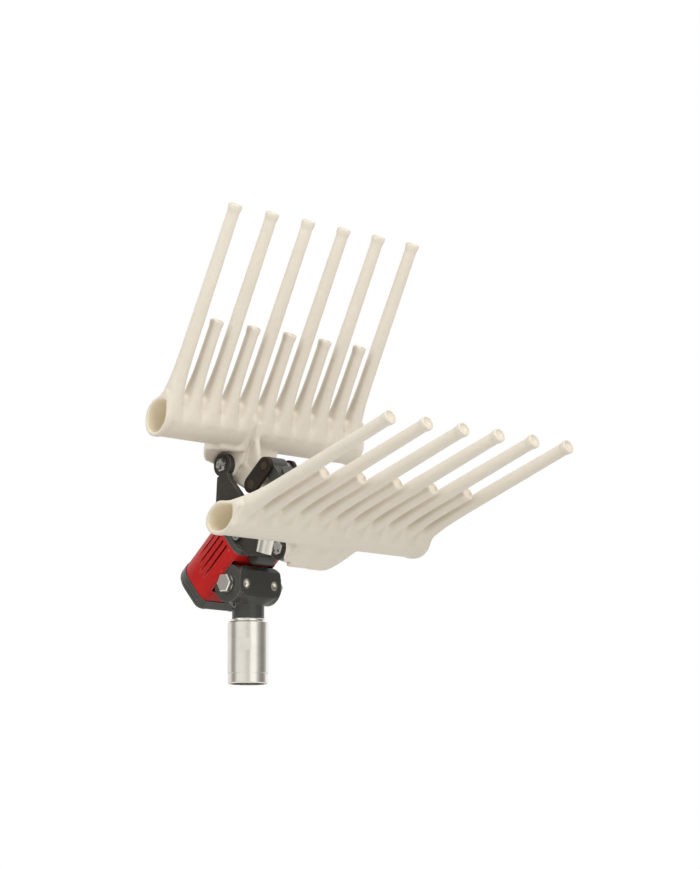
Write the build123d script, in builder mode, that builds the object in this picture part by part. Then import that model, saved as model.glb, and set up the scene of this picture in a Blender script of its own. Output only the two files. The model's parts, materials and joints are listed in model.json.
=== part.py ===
"""Olive harvester head: two swinging combs on a piston-driven head that tilts on a pole coupling.

Frame: the pole axis is +Z, the head leans towards +X and the comb tubes lie along Y. The origin is the
mouth of the pole socket. The head's own frame has Z along the cylinder, X towards the lower comb and its
origin on the cylinder axis beside the tilt bolt. Millimetres and degrees.
"""
import os
from math import cos, radians, sin

from build123d import *

os.makedirs("parts", exist_ok=True)

# Overall layout
HEAD_LEAN = 48.4  # cylinder axis from the pole
TILT_HEIGHT = 88.0  # tilt bolt above the socket mouth
TILT_OFFSET = 33.0  # cylinder axis above the tilt bolt
FIT = 0.02  # gap all round between pieces that are pressed or glued together
RUN = 0.05  # running clearance on a radius
LOOSE = 0.2  # clearance of a screw or bolt in its hole

# Pole coupling and fork
SOCKET_RADIUS = 15.0
SOCKET_DEPTH = 42.0
COUPLING_RADIUS = 18.1
COUPLING_TOP = 55.0
RING_TOP = 8.6
RING_SEAT = 1.7  # the ring's seat below the sleeve's surface
GROOVE = 0.8
EDGE_BREAK = 0.8
FLAT_TURN = -57.0  # spanner flats about the pole axis
FLAT_DEPTH = 1.2
FLAT_CENTRE = 34.4
FLAT_HEIGHT = 10.8
NECK_RADIUS = 14.4
SPIGOT_RADIUS = 11.0
EAR_RADIUS = 17.2
EAR_INNER = 18.0
EAR_OUTER = 25.6
EAR_RIM = 0.5
EAR_ROOT = (-15.7, -6.0)  # where an ear's back edge leaves its round, from the tilt bolt
WALL_HALF = 25.0  # half width over the ears' roots
WEB_INNER = 11.2
WEB_OUTER = 15.8
WEB_TOP = 15.5  # above the tilt bolt
WEB_SLOPE = (2.6, 4.0)  # slope on the web's top edge
WEB_CORNER = 8.0
FLOOR_TOP = -11.6  # below the tilt bolt
FLOOR_REAR = 13.0  # floor's reach behind the pole axis
FLOOR_HALF = 22.0
FLOOR_CORNER = 6.0
FLARE_BOTTOM = -18.5  # where the floor's flare has run into the neck
TAIL_ROOM = ((-40.0, -26.0), (-14.0, -22.0), (-8.0, FLOOR_TOP))  # room for the tilting barrel's tail
NECK_GAP = 0.3
SPIGOT_GAP = 0.5
WEB_SCREW_Y = 17.2
WEB_SCREW_Z = -0.8  # from the tilt bolt
WEB_SCREW_RADIUS = 4.2
WEB_SCREW_SINK = 2.6
WEB_SCREW_KEY = 2.9
NECK_SCREW_AT = (-2.0, 69.6)
NECK_SCREW_FACE = 15.6  # screw face from the pole axis
NECK_SCREW_RADIUS = 2.6
NECK_SCREW_DEPTH = 5.0
NECK_SCREW_KEY = 1.5
SCREW_RECESS = 0.6  # screw faces below the surface round them
KEY_DEPTH = 0.6  # socket depth as a share of the screw head's height

# Tilt bolt
TILT_RADIUS = 4.0
TILT_HEX = 15.0
WASHER_RADIUS = 8.2
WASHER_THICK = 1.4
TILT_HEAD = 4.6
TILT_NUT = 8.0
THREAD_END = 1.5  # bolt end beyond its nut

# Cylinder
BODY_RADIUS = 29.0
BODY_BOTTOM = 24.2  # flat underside below the cylinder axis
BODY_CORNER = 6.0
BODY_REAR = -30.0
BODY_FRONT = 26.0
BORE_RADIUS = 18.0
FIN_COUNT = 4
FIN_CENTRE = -0.4  # middle of a flank's grooves in the head's X
FIN_STEP = 6.6
FIN_WIDTH = 2.8
FIN_DEPTH = 4.5
FIN_FRONT = 2.4  # behind the barrel's front
FIN_REAR = 13.0  # ahead of its rear
FIN_FLOOR = 19.6
LUG_RADIUS = 10.5
LUG_SHOULDER = 22.0
SLOT_CLEAR = 1.0
SLOT_SIDE = 0.4
LUG_HALF = 17.4
TILT_BUSH_RADIUS = 6.0
GASKET = 0.5
CAP_THICK = 10.5
CAP_LAP = 0.8  # cap's edge beyond the barrel's
VALVE_BOSS_TOP = -8.0
SPOOL_RADIUS = 4.0
SPOOL_WAIST = 2.6
SPOOL_HALF = 12.0
SPOOL_Z = -18.0
INLET_RADIUS = 5.8
INLET_DEPTH = 10.0
LAND_GAP = 6.0
CAP_NOTCHES = 9
NOTCH_STEP = 3.2
NOTCH_CENTRE = 7.0  # middle of a flank's notches in the head's X
NOTCH_RADIUS = 1.5
NOTCH_LENGTH = 6.0
CAP_EDGE = 3.0
SCREW_CIRCLE = 23.6
SCREW_RADIUS = 2.5
SCREW_HEAD = 4.2
SCREW_KEY = 2.3
HEAD_HEIGHT = 5.0
HEAD_CLEAR = 0.4
CAP_SEAT = 2.5
REAR_SCREW_TURN = 45.0
REAR_THREAD = 8.0
FRONT_SCREW_TURN = 103.0
FRONT_THREAD = 12.0

# Piston
PISTON_REAR = 4.0
PISTON_THICK = 12.0
PISTON_GAP = 0.3
SPIGOT_STEP = 1.5  # rod's step inside the piston
SEAL_AT = (2.4, 7.0)  # seal grooves from the piston's rear
SEAL_WIDTH = 2.6
SEAL_PLAY = 0.1
PISTON_NUT = 4.6
PISTON_HEX = 8.0

# Front head and side yokes
FLANGE_TOP = 31.0
SCREW_SINK = 3.0
CHEEK_TOP = 45.0
CHEEK_HALF_X = 17.0
GLAND_RADIUS = 10.5
GLAND_TOP = 49.0
ROD_RADIUS = 6.0
ROD_BUSH_RADIUS = 8.0
SEAL_THICK = 4.0
SEAL_LIP = 0.8
YOKE_THREAD = 8.0
YOKE_SCREW_HEAD = 4.0
CORNER = 3.0
YOKE_INNER = 17.6
YOKE_THICK = 6.0
YOKE_LOBE = 10.6
YOKE_FOOT = 29.5  # half width on the front head
YOKE_WAIST = (50.0, 51.6)
YOKE_NECK = (46.0, 64.0)
YOKE_FRONT = (38.0, 61.6)
PAD_FROM_PIVOT = 17.3
PAD_TURN = 31.3  # pad's length from the head's X
PAD_HALF = 10.2
PAD_BACK = 8.0
PAD_FRONT = 6.0
PAD_RISE = 4.6
YOKE_SCREW = (10.0, 36.2)

# Exhaust cover under the front head
EXHAUST_AT = (28.2, 31.0)
EXHAUST_RADIUS = 8.2
EXHAUST_NEAR = -14.0
EXHAUST_FAR = 9.0
EXHAUST_EDGE = 2.5
EXHAUST_NOTCH = 19.5  # where the gasket stops short of the cover

# Comb linkage
PIVOT = (-54.0, 63.5)  # upper comb pivot in the head's X and Z
LEVER_LENGTH = 35.6
LEVER_ANGLE = 15.0
LINK_LENGTH = 22.5
CROSS_SHIFT = 0.18  # crosshead pin beside the link hole's centre, within the open pivot's play
CROSS_DROP = 0.1  # and behind it
LINK_INNER = 13.2
LINK_THICK = 3.8
LINK_HALF_WIDTH = 8.0
LINK_PIN_RADIUS = 4.0
OPEN_PIVOT_PLAY = 0.45
CROSS_RADIUS = 8.5
CROSS_NEAR = -12.9
CROSS_FAR = 5.0
CROSS_BAR = 12.75
CROSS_HUB = 11.0
HUB_HALF = 10.0
ROD_REACH = 6.0  # rod end beyond the crosshead pins
SLEEVE_WALL = 2.0
SIDE_PLAY = 0.3
PIVOT_BOLT_RADIUS = 5.0
PIVOT_HEX = 11.0
PIVOT_HEAD = 2.6
PIVOT_NUT_HEX = 16.0
PIVOT_NUT = 6.0
PIVOT_END = 1.0
PIVOT_CLEAR = 0.1
RAKE_BUSH_RADIUS = 7.0
BUSH_LENGTH = 13.0

# Combs
RAKE_OPEN = 22.3
TUBE_AT = (-62.5, 99.0)
TUBE_NEAR = -121.0
TUBE_FAR = 127.0
TUBE_SET = 2.6  # tube's axis outside the plane of the teeth
TUBE_A = 17.5  # half depth along the teeth
TUBE_B = 13.5  # half thickness
TUBE_WALL = 2.7
RIDGE_AT = 18.5  # tube's ridge under the teeth, along them from its axis
RIDGE_RADIUS = 5.5
HOLLOW_AT = 13.0  # the same for the hollow
HOLLOW_RADIUS = 3.6
TOOTH_PITCH = 45.0
LONG_TEETH = 6
LONG_TOOTH = 197.0
SHORT_TOOTH = 94.0
TOOTH_ROOT = (6.0, -8.0)  # radius and distance along the tooth
TOOTH_SWELL = (
    (8.4, 6.0),
    (9.2, 15.0),
    (9.1, 21.0),
    (8.6, 26.0),
    (7.9, 31.5),
    (7.2, 39.0),
    (6.5, 50.0),
    (6.25, 62.0),
)
SHORT_GIRTH = 0.93  # of a short tooth against a long one
STEM_TAPER = 0.0065  # loss of radius along the stem
TIP_RADIUS = 6.2
TIP_FLARE = 8.0
TIP_BAND = 2.8
TIP_ROUND = 1.2
TIP_BORE = 4.7  # open end of a tooth
TIP_FLOOR = 4.2
TIP_DEPTH = 12.0
POD_RADIUS = 16.5
POD_NEAR = -30.7
POD_TURN = 41.6  # face of the pod beside the yoke, from the head's X
POD_LEAD = 2.5  # that face ahead of the pivot
LIP_LEAD = 9.0  # face of the lip outside the far yoke
LIP_FAR = 27.5
CORE_RADIUS = 11.5
CORE_HALF = 17.0
CUP_RADIUS = 12.4
LEVER_HALF = 12.0
RIB_THICK = 6.0
LEVER_END = 8.0
RIB_AT = (-62.4, 105.4)
RIB_RADIUS = 3.5
GUSSET_ROOT = 42.0  # gusset's depth below the tube's axis beside the pod
GUSSET_KNEE = (9.5, 32.0)  # its reach and depth at the knee
GUSSET_REACH = 14.5
GUSSET_FOOT = 11.5  # its depth where it ends in the tube

# Places worked out from the dimensions above
lean = radians(HEAD_LEAN)
HEAD = Plane(
    origin=(-TILT_OFFSET * cos(lean), 0, TILT_HEIGHT + TILT_OFFSET * sin(lean)),
    x_dir=(cos(lean), 0, -sin(lean)),
    z_dir=(sin(lean), 0, cos(lean)),
)
LEVER_PIN = (
    PIVOT[0] + LEVER_LENGTH * cos(radians(LEVER_ANGLE)),
    PIVOT[1] + LEVER_LENGTH * sin(radians(LEVER_ANGLE)),
)
CROSS_PIN = (LEVER_PIN[0] - CROSS_SHIFT, LEVER_PIN[1] + LINK_LENGTH - CROSS_DROP)
LINK_OUTER = LINK_INNER + LINK_THICK
WEB_SCREWS = [(side * WEB_SCREW_Y, TILT_HEIGHT + WEB_SCREW_Z) for side in (-1, 1)]
opening = radians(RAKE_OPEN)
RAKE = Plane(
    origin=(TUBE_AT[0], 0, TUBE_AT[1]),
    x_dir=(cos(opening), 0, sin(opening)),
    z_dir=(-sin(opening), 0, cos(opening)),
)


def save(shape, label, place=Location((0, 0, 0))):
    """Put a finished piece in the object's frame, label it and write its STEP file."""
    placed = shape.moved(place)
    placed.label = label
    export_step(placed, f"parts/{label}.step")


def save_head(piece, label):
    """Write a piece that was modelled in the head's own frame."""
    save(piece.part, label, HEAD.location)


def save_pair(piece, label):
    """Write an upper piece and its mirror image on the lower side of the head."""
    save(piece.part, f"upper_{label}", HEAD.location)
    save(piece.part.mirror(Plane.YZ), f"lower_{label}", HEAD.location)


def barrel_outline(inset):
    """Draw the barrel's section, round above and flat below, the given distance inside its surface."""
    Circle(BODY_RADIUS - inset)
    corner_x = BODY_BOTTOM - BODY_CORNER
    corner_y = BODY_RADIUS - BODY_CORNER
    with Locations((corner_x, corner_y), (corner_x, -corner_y)):
        Circle(BODY_CORNER - inset)
    make_hull()
    with Locations((BODY_BOTTOM - inset, 0)):
        Rectangle(BODY_RADIUS, 2 * BODY_RADIUS, align=(Align.MIN, Align.CENTER), mode=Mode.SUBTRACT)


def across(y):
    """A plane square to Y at the given Y, drawn with X to the right and Z up; it faces -Y."""
    return Plane.XZ.offset(-y)


# Pole coupling: a plated sleeve with the pole socket below and a seat for the fork's spigot above
with BuildPart() as pole_coupling:
    with BuildSketch(Plane.XZ):
        with BuildLine():
            nose = COUPLING_RADIUS - RING_SEAT
            Polyline(
                (SOCKET_RADIUS, 0),
                (nose, 0),
                (nose, RING_TOP + GROOVE),
                (COUPLING_RADIUS, RING_TOP + GROOVE),
                (COUPLING_RADIUS, COUPLING_TOP - EDGE_BREAK),
                (COUPLING_RADIUS - EDGE_BREAK, COUPLING_TOP),
                (SPIGOT_RADIUS, COUPLING_TOP),
                (SPIGOT_RADIUS, SOCKET_DEPTH),
                (SOCKET_RADIUS, SOCKET_DEPTH),
                close=True,
            )
        make_face()
    revolve(axis=Axis.Z)
    with BuildSketch(Plane.XY.offset(FLAT_CENTRE - FLAT_HEIGHT / 2)):
        with PolarLocations(COUPLING_RADIUS - FLAT_DEPTH, 2, start_angle=FLAT_TURN):
            Rectangle(COUPLING_RADIUS, 2 * COUPLING_RADIUS, align=(Align.MIN, Align.CENTER))
    extrude(amount=FLAT_HEIGHT, mode=Mode.SUBTRACT)
save(pole_coupling.part, "pole_coupling")

with BuildPart() as coupling_ring:
    with BuildSketch():
        Circle(COUPLING_RADIUS - EDGE_BREAK / 2)
        Circle(COUPLING_RADIUS - RING_SEAT + FIT, mode=Mode.SUBTRACT)
    extrude(amount=RING_TOP)
    chamfer(coupling_ring.edges().group_by(Axis.Z)[0].sort_by(SortBy.RADIUS)[-1:], EDGE_BREAK)
save(coupling_ring.part, "coupling_ring")

# Fork: neck and spigot, a flared floor, two round ears beside the cylinder's lug and a web across the front
with BuildPart() as pole_fork:
    NECK_BOTTOM = COUPLING_TOP + NECK_GAP
    with BuildSketch(Plane.XY.offset(SOCKET_DEPTH + SPIGOT_GAP)):
        Circle(SPIGOT_RADIUS - FIT)
    extrude(amount=NECK_BOTTOM - SOCKET_DEPTH - SPIGOT_GAP)
    with BuildSketch(Plane.XY.offset(NECK_BOTTOM)):
        Circle(NECK_RADIUS)
    extrude(amount=TILT_HEIGHT + FLARE_BOTTOM - NECK_BOTTOM)
    with BuildSketch(Plane.XY.offset(TILT_HEIGHT + FLARE_BOTTOM)):
        Circle(NECK_RADIUS)
    with BuildSketch(Plane.XY.offset(TILT_HEIGHT + FLOOR_TOP)):
        with Locations(((WEB_OUTER - FLOOR_REAR) / 2, 0)):
            RectangleRounded(WEB_OUTER + FLOOR_REAR, 2 * FLOOR_HALF, FLOOR_CORNER)
    loft()
    with BuildSketch(Plane.XZ):
        with BuildLine():
            Polyline(
                (EAR_ROOT[0], TILT_HEIGHT + EAR_ROOT[1]),
                (-FLOOR_REAR, TILT_HEIGHT + FLOOR_TOP),
                (WEB_INNER, TILT_HEIGHT + FLOOR_TOP),
                (0, TILT_HEIGHT),
                close=True,
            )
        make_face()
    extrude(amount=WALL_HALF, both=True)
    with BuildSketch(Plane.YZ.offset(WEB_INNER)):
        with Locations((0, TILT_HEIGHT + (WEB_TOP + FLOOR_TOP) / 2)):
            RectangleRounded(2 * WALL_HALF, WEB_TOP - FLOOR_TOP, WEB_CORNER)
    extrude(amount=WEB_OUTER - WEB_INNER)
    with BuildSketch(Plane.XZ):
        with BuildLine():
            Polyline(
                (WEB_OUTER, TILT_HEIGHT + WEB_TOP - WEB_SLOPE[1]),
                (WEB_OUTER, TILT_HEIGHT + WEB_TOP),
                (WEB_OUTER - WEB_SLOPE[0], TILT_HEIGHT + WEB_TOP),
                close=True,
            )
        make_face()
    extrude(amount=WALL_HALF, both=True, mode=Mode.SUBTRACT)
    with BuildSketch(Plane.XZ):
        with Locations((0, TILT_HEIGHT)):
            Circle(EAR_RADIUS)
        with Locations((WEB_OUTER, TILT_HEIGHT)):
            Rectangle(EAR_RADIUS, 2 * EAR_RADIUS, align=(Align.MIN, Align.CENTER), mode=Mode.SUBTRACT)
    extrude(amount=EAR_OUTER, both=True)
    chamfer(pole_fork.faces().sort_by(Axis.Y)[0].edges().filter_by(GeomType.CIRCLE), EAR_RIM)
    chamfer(pole_fork.faces().sort_by(Axis.Y)[-1].edges().filter_by(GeomType.CIRCLE), EAR_RIM)
    with BuildSketch(Plane.XZ):
        with BuildLine():
            Polyline(
                *[(x, TILT_HEIGHT + z) for x, z in TAIL_ROOM],
                (WEB_INNER, TILT_HEIGHT + FLOOR_TOP),
                (WEB_INNER, TILT_HEIGHT + 2 * EAR_RADIUS),
                (TAIL_ROOM[0][0], TILT_HEIGHT + 2 * EAR_RADIUS),
                close=True,
            )
        make_face()
    extrude(amount=EAR_INNER, both=True, mode=Mode.SUBTRACT)
    with BuildSketch(Plane.XZ):
        with Locations((0, TILT_HEIGHT)):
            Circle(TILT_RADIUS + LOOSE)
    extrude(amount=EAR_OUTER, both=True, mode=Mode.SUBTRACT)
    with BuildSketch(Plane.YZ.offset(WEB_OUTER)):
        with Locations(*WEB_SCREWS):
            Circle(WEB_SCREW_RADIUS)
    extrude(amount=-WEB_SCREW_SINK, mode=Mode.SUBTRACT)
    with BuildSketch(across(NECK_SCREW_DEPTH - NECK_SCREW_FACE)):
        with Locations(NECK_SCREW_AT):
            Circle(NECK_SCREW_RADIUS)
    extrude(amount=2 * NECK_SCREW_DEPTH, mode=Mode.SUBTRACT)
save(pole_fork.part, "pole_fork")

with BuildPart() as web_screws:
    with BuildSketch(Plane.YZ.offset(WEB_OUTER - WEB_SCREW_SINK)):
        with Locations(*WEB_SCREWS):
            Circle(WEB_SCREW_RADIUS - FIT)
    extrude(amount=WEB_SCREW_SINK - SCREW_RECESS)
    with BuildSketch(Plane.YZ.offset(WEB_OUTER - SCREW_RECESS)):
        with Locations(*WEB_SCREWS):
            RegularPolygon(WEB_SCREW_KEY, 6)
    extrude(amount=-KEY_DEPTH * WEB_SCREW_SINK, mode=Mode.SUBTRACT)
save(web_screws.part, "web_screws")

with BuildPart() as neck_screw:
    with BuildSketch(across(NECK_SCREW_DEPTH - NECK_SCREW_FACE)):
        with Locations(NECK_SCREW_AT):
            Circle(NECK_SCREW_RADIUS - FIT)
    extrude(amount=NECK_SCREW_DEPTH)
    with BuildSketch(across(-NECK_SCREW_FACE)):
        with Locations(NECK_SCREW_AT):
            RegularPolygon(NECK_SCREW_KEY, 6)
    extrude(amount=-NECK_SCREW_DEPTH / 2, mode=Mode.SUBTRACT)
save(neck_screw.part, "neck_screw")

# Tilt bolt through the ears, with its washers and nut
with BuildPart() as tilt_bolt:
    HEAD_FACE = EAR_OUTER + WASHER_THICK
    with BuildSketch(across(-HEAD_FACE)):
        with Locations((0, TILT_HEIGHT)):
            RegularPolygon(TILT_HEX / 2, 6, major_radius=False)
    extrude(amount=TILT_HEAD)
    chamfer(tilt_bolt.faces().sort_by(Axis.Y)[0].edges(), EDGE_BREAK)
    with BuildSketch(across(-HEAD_FACE)):
        with Locations((0, TILT_HEIGHT)):
            Circle(TILT_RADIUS)
    extrude(amount=-(2 * HEAD_FACE + TILT_NUT + THREAD_END))
save(tilt_bolt.part, "tilt_bolt")

with BuildPart() as tilt_nut:
    with BuildSketch(across(HEAD_FACE)):
        with Locations((0, TILT_HEIGHT)):
            RegularPolygon(TILT_HEX / 2, 6, major_radius=False)
            Circle(TILT_RADIUS + FIT, mode=Mode.SUBTRACT)
    extrude(amount=-TILT_NUT)
save(tilt_nut.part, "tilt_nut")

with BuildPart() as tilt_washers:
    for face_y in (-EAR_OUTER, EAR_OUTER + WASHER_THICK):
        with BuildSketch(across(face_y)):
            with Locations((0, TILT_HEIGHT)):
                Circle(WASHER_RADIUS)
                Circle(TILT_RADIUS + LOOSE, mode=Mode.SUBTRACT)
        extrude(amount=WASHER_THICK)
save(tilt_washers.part, "tilt_washers")

# Cylinder body: a barrel with grooved flanks, the tilt lug underneath, slots for the ears and a front lip
with BuildPart() as cylinder_body:
    with BuildSketch(Plane.XY.offset(BODY_REAR)):
        barrel_outline(0)
    extrude(amount=BODY_FRONT - BODY_REAR)
    SLOT_X = TILT_OFFSET - EAR_RADIUS - SLOT_CLEAR
    SLOT_HALF = EAR_RADIUS + 2 * SLOT_CLEAR
    with BuildSketch(Plane.XZ):
        with Locations((SLOT_X, 0)):
            Rectangle(BODY_RADIUS, 2 * SLOT_HALF, align=(Align.MIN, Align.CENTER))
    extrude(amount=EAR_OUTER + SLOT_SIDE, both=True, mode=Mode.SUBTRACT)
    with BuildSketch(Plane.XZ):
        with Locations((TILT_OFFSET, 0)):
            Circle(LUG_RADIUS)
        with Locations((0, 0)):
            Rectangle(TILT_OFFSET, 2 * LUG_RADIUS, align=(Align.MIN, Align.CENTER))
            Rectangle(LUG_SHOULDER, 2 * SLOT_HALF, align=(Align.MIN, Align.CENTER))
    extrude(amount=LUG_HALF, both=True)
    for flank in (-1, 1):
        for i in range(FIN_COUNT):
            with BuildSketch(Plane.YZ.offset(FIN_CENTRE + (i - (FIN_COUNT - 1) / 2) * FIN_STEP)):
                with BuildLine():
                    Polyline(
                        (flank * (BODY_RADIUS - FIN_DEPTH), BODY_FRONT - FIN_FRONT),
                        (flank * (BODY_RADIUS + FIN_DEPTH), BODY_FRONT - FIN_FRONT),
                        (flank * (BODY_RADIUS + FIN_DEPTH), BODY_REAR + FIN_REAR),
                        (flank * BODY_RADIUS, BODY_REAR + FIN_REAR),
                        (flank * (BODY_RADIUS - FIN_DEPTH), BODY_FRONT - FIN_FRONT - FIN_FLOOR),
                        close=True,
                    )
                make_face()
            extrude(amount=FIN_WIDTH / 2, both=True, mode=Mode.SUBTRACT)
    with BuildSketch(Plane.XY.offset(BODY_REAR)):
        Circle(BORE_RADIUS)
    extrude(amount=BODY_FRONT - BODY_REAR, mode=Mode.SUBTRACT)
    with BuildSketch(Plane.XZ):
        with Locations((TILT_OFFSET, 0)):
            Circle(TILT_BUSH_RADIUS)
    extrude(amount=LUG_HALF, both=True, mode=Mode.SUBTRACT)
    with BuildSketch(Plane.XY.offset(BODY_FRONT)):
        with PolarLocations(SCREW_CIRCLE, 3, FRONT_SCREW_TURN, 180, endpoint=True):
            Circle(SCREW_RADIUS)
    extrude(amount=-FRONT_THREAD, mode=Mode.SUBTRACT)
    with BuildSketch(Plane.XY.offset(BODY_REAR)):
        with PolarLocations(SCREW_CIRCLE, 4, start_angle=REAR_SCREW_TURN):
            Circle(SCREW_RADIUS)
    extrude(amount=REAR_THREAD, mode=Mode.SUBTRACT)
    with BuildSketch(across(EXHAUST_FAR + FIT)):
        with Locations(EXHAUST_AT):
            Circle(EXHAUST_RADIUS + FIT)
    extrude(amount=EXHAUST_FAR - EXHAUST_NEAR + 2 * FIT, mode=Mode.SUBTRACT)
save_head(cylinder_body, "cylinder_body")

with BuildPart() as tilt_bush:
    with BuildSketch(Plane.XZ):
        with Locations((TILT_OFFSET, 0)):
            Circle(TILT_BUSH_RADIUS - FIT)
            Circle(TILT_RADIUS + RUN, mode=Mode.SUBTRACT)
    extrude(amount=LUG_HALF + LOOSE, both=True)
save_head(tilt_bush, "tilt_bush")

# Rear cap with its gasket and screws; a boss inside it holds the reversing valve's spool
with BuildPart() as rear_gasket:
    with BuildSketch(Plane.XY.offset(BODY_REAR - GASKET)):
        barrel_outline(GASKET)
        Circle(BORE_RADIUS, mode=Mode.SUBTRACT)
        with PolarLocations(SCREW_CIRCLE, 4, start_angle=REAR_SCREW_TURN):
            Circle(SCREW_RADIUS + LOOSE, mode=Mode.SUBTRACT)
    extrude(amount=GASKET)
save_head(rear_gasket, "rear_gasket")

with BuildPart() as rear_cap:
    CAP_FRONT = BODY_REAR - GASKET
    CAP_REAR = CAP_FRONT - CAP_THICK
    with BuildSketch(Plane.XY.offset(CAP_FRONT)):
        barrel_outline(-CAP_LAP)
    extrude(amount=-CAP_THICK)
    fillet(rear_cap.edges().group_by(Axis.Z)[0], CAP_EDGE)
    with BuildSketch(Plane.XY.offset(CAP_REAR)):
        with Locations((NOTCH_CENTRE, 0)):
            with GridLocations(NOTCH_STEP, 2 * (BODY_RADIUS + CAP_LAP + NOTCH_RADIUS / 4), CAP_NOTCHES, 2):
                Circle(NOTCH_RADIUS)
    extrude(amount=NOTCH_LENGTH, mode=Mode.SUBTRACT)
    with BuildSketch(Plane.XY.offset(CAP_FRONT)):
        Circle(BORE_RADIUS - FIT)
    extrude(amount=VALVE_BOSS_TOP - CAP_FRONT)
    with BuildSketch(Plane.XZ):
        with Locations((0, SPOOL_Z)):
            Circle(SPOOL_RADIUS + RUN)
    extrude(amount=BORE_RADIUS, both=True, mode=Mode.SUBTRACT)
    with BuildSketch(Plane.XY.offset(CAP_REAR)):
        Circle(INLET_RADIUS)
    extrude(amount=INLET_DEPTH, mode=Mode.SUBTRACT)
    with BuildSketch(Plane.XY.offset(CAP_REAR)):
        with PolarLocations(SCREW_CIRCLE, 4, start_angle=REAR_SCREW_TURN):
            Circle(SCREW_HEAD + HEAD_CLEAR)
    extrude(amount=CAP_SEAT, mode=Mode.SUBTRACT)
    with BuildSketch(Plane.XY.offset(CAP_REAR)):
        with PolarLocations(SCREW_CIRCLE, 4, start_angle=REAR_SCREW_TURN):
            Circle(SCREW_RADIUS + LOOSE)
    extrude(amount=CAP_THICK, mode=Mode.SUBTRACT)
save_head(rear_cap, "rear_cap")

with BuildPart() as rear_cap_screws:
    SEAT_Z = CAP_REAR + CAP_SEAT
    with BuildSketch(Plane.XY.offset(SEAT_Z)):
        with PolarLocations(SCREW_CIRCLE, 4, start_angle=REAR_SCREW_TURN):
            Circle(SCREW_HEAD)
    extrude(amount=-HEAD_HEIGHT)
    with BuildSketch(Plane.XY.offset(SEAT_Z - HEAD_HEIGHT)):
        with PolarLocations(SCREW_CIRCLE, 4, start_angle=REAR_SCREW_TURN):
            RegularPolygon(SCREW_KEY, 6)
    extrude(amount=HEAD_HEIGHT / 2, mode=Mode.SUBTRACT)
    with BuildSketch(Plane.XY.offset(SEAT_Z)):
        with PolarLocations(SCREW_CIRCLE, 4, start_angle=REAR_SCREW_TURN):
            Circle(SCREW_RADIUS - FIT)
    extrude(amount=CAP_THICK - CAP_SEAT + GASKET + REAR_THREAD - SCREW_RECESS)
save_head(rear_cap_screws, "rear_cap_screws")

with BuildPart() as valve_spool:
    with BuildSketch(Plane.XZ):
        with Locations((0, SPOOL_Z)):
            Circle(SPOOL_RADIUS)
    extrude(amount=SPOOL_HALF, both=True)
    for land_gap in (-LAND_GAP, LAND_GAP):
        with BuildSketch(across(land_gap)):
            with Locations((0, SPOOL_Z)):
                Circle(SPOOL_RADIUS)
                Circle(SPOOL_WAIST, mode=Mode.SUBTRACT)
        extrude(amount=LAND_GAP / 3, both=True, mode=Mode.SUBTRACT)
save_head(valve_spool, "valve_spool")

# Piston with its seals, rod and nut
with BuildPart() as piston:
    with BuildSketch(Plane.XY.offset(PISTON_REAR)):
        Circle(BORE_RADIUS - PISTON_GAP)
        Circle(ROD_RADIUS - SPIGOT_STEP, mode=Mode.SUBTRACT)
    extrude(amount=PISTON_THICK)
    for seal_z in SEAL_AT:
        with BuildSketch(Plane.XY.offset(PISTON_REAR + seal_z)):
            Circle(BORE_RADIUS)
            Circle(BORE_RADIUS - SEAL_WIDTH, mode=Mode.SUBTRACT)
        extrude(amount=SEAL_WIDTH, mode=Mode.SUBTRACT)
save_head(piston, "piston")

with BuildPart() as piston_seals:
    for seal_z in SEAL_AT:
        with BuildSketch(Plane.XY.offset(PISTON_REAR + seal_z + SEAL_PLAY)):
            Circle(BORE_RADIUS - RUN)
            Circle(BORE_RADIUS - SEAL_WIDTH + SEAL_PLAY, mode=Mode.SUBTRACT)
        extrude(amount=SEAL_WIDTH - 2 * SEAL_PLAY)
save_head(piston_seals, "piston_seals")

ROD_END = CROSS_PIN[1] + ROD_REACH
with BuildPart() as piston_rod:
    ROD_START = PISTON_REAR - PISTON_NUT - THREAD_END
    with BuildSketch(Plane.XY.offset(ROD_START)):
        Circle(ROD_RADIUS - SPIGOT_STEP - FIT)
    extrude(amount=PISTON_REAR + PISTON_THICK - ROD_START)
    with BuildSketch(Plane.XY.offset(PISTON_REAR + PISTON_THICK)):
        Circle(ROD_RADIUS)
    extrude(amount=ROD_END - PISTON_REAR - PISTON_THICK)
save_head(piston_rod, "piston_rod")

with BuildPart() as piston_nut:
    with BuildSketch(Plane.XY.offset(PISTON_REAR - PISTON_NUT)):
        RegularPolygon(PISTON_HEX, 6)
        Circle(ROD_RADIUS - SPIGOT_STEP, mode=Mode.SUBTRACT)
    extrude(amount=PISTON_NUT)
save_head(piston_nut, "piston_nut")

# Front head with its gasket, screws, rod bush and wiper seal
with BuildPart() as front_gasket:
    with BuildSketch(Plane.XY.offset(BODY_FRONT)):
        barrel_outline(GASKET)
        Circle(BORE_RADIUS, mode=Mode.SUBTRACT)
        with PolarLocations(SCREW_CIRCLE, 3, FRONT_SCREW_TURN, 180, endpoint=True):
            Circle(SCREW_RADIUS + LOOSE, mode=Mode.SUBTRACT)
        with Locations((EXHAUST_NOTCH, (EXHAUST_NEAR + EXHAUST_FAR) / 2)):
            notch_width = EXHAUST_FAR - EXHAUST_NEAR + 2 * GASKET
            Rectangle(BODY_RADIUS, notch_width, align=(Align.MIN, Align.CENTER), mode=Mode.SUBTRACT)
    extrude(amount=GASKET)
save_head(front_gasket, "front_gasket")

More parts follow.
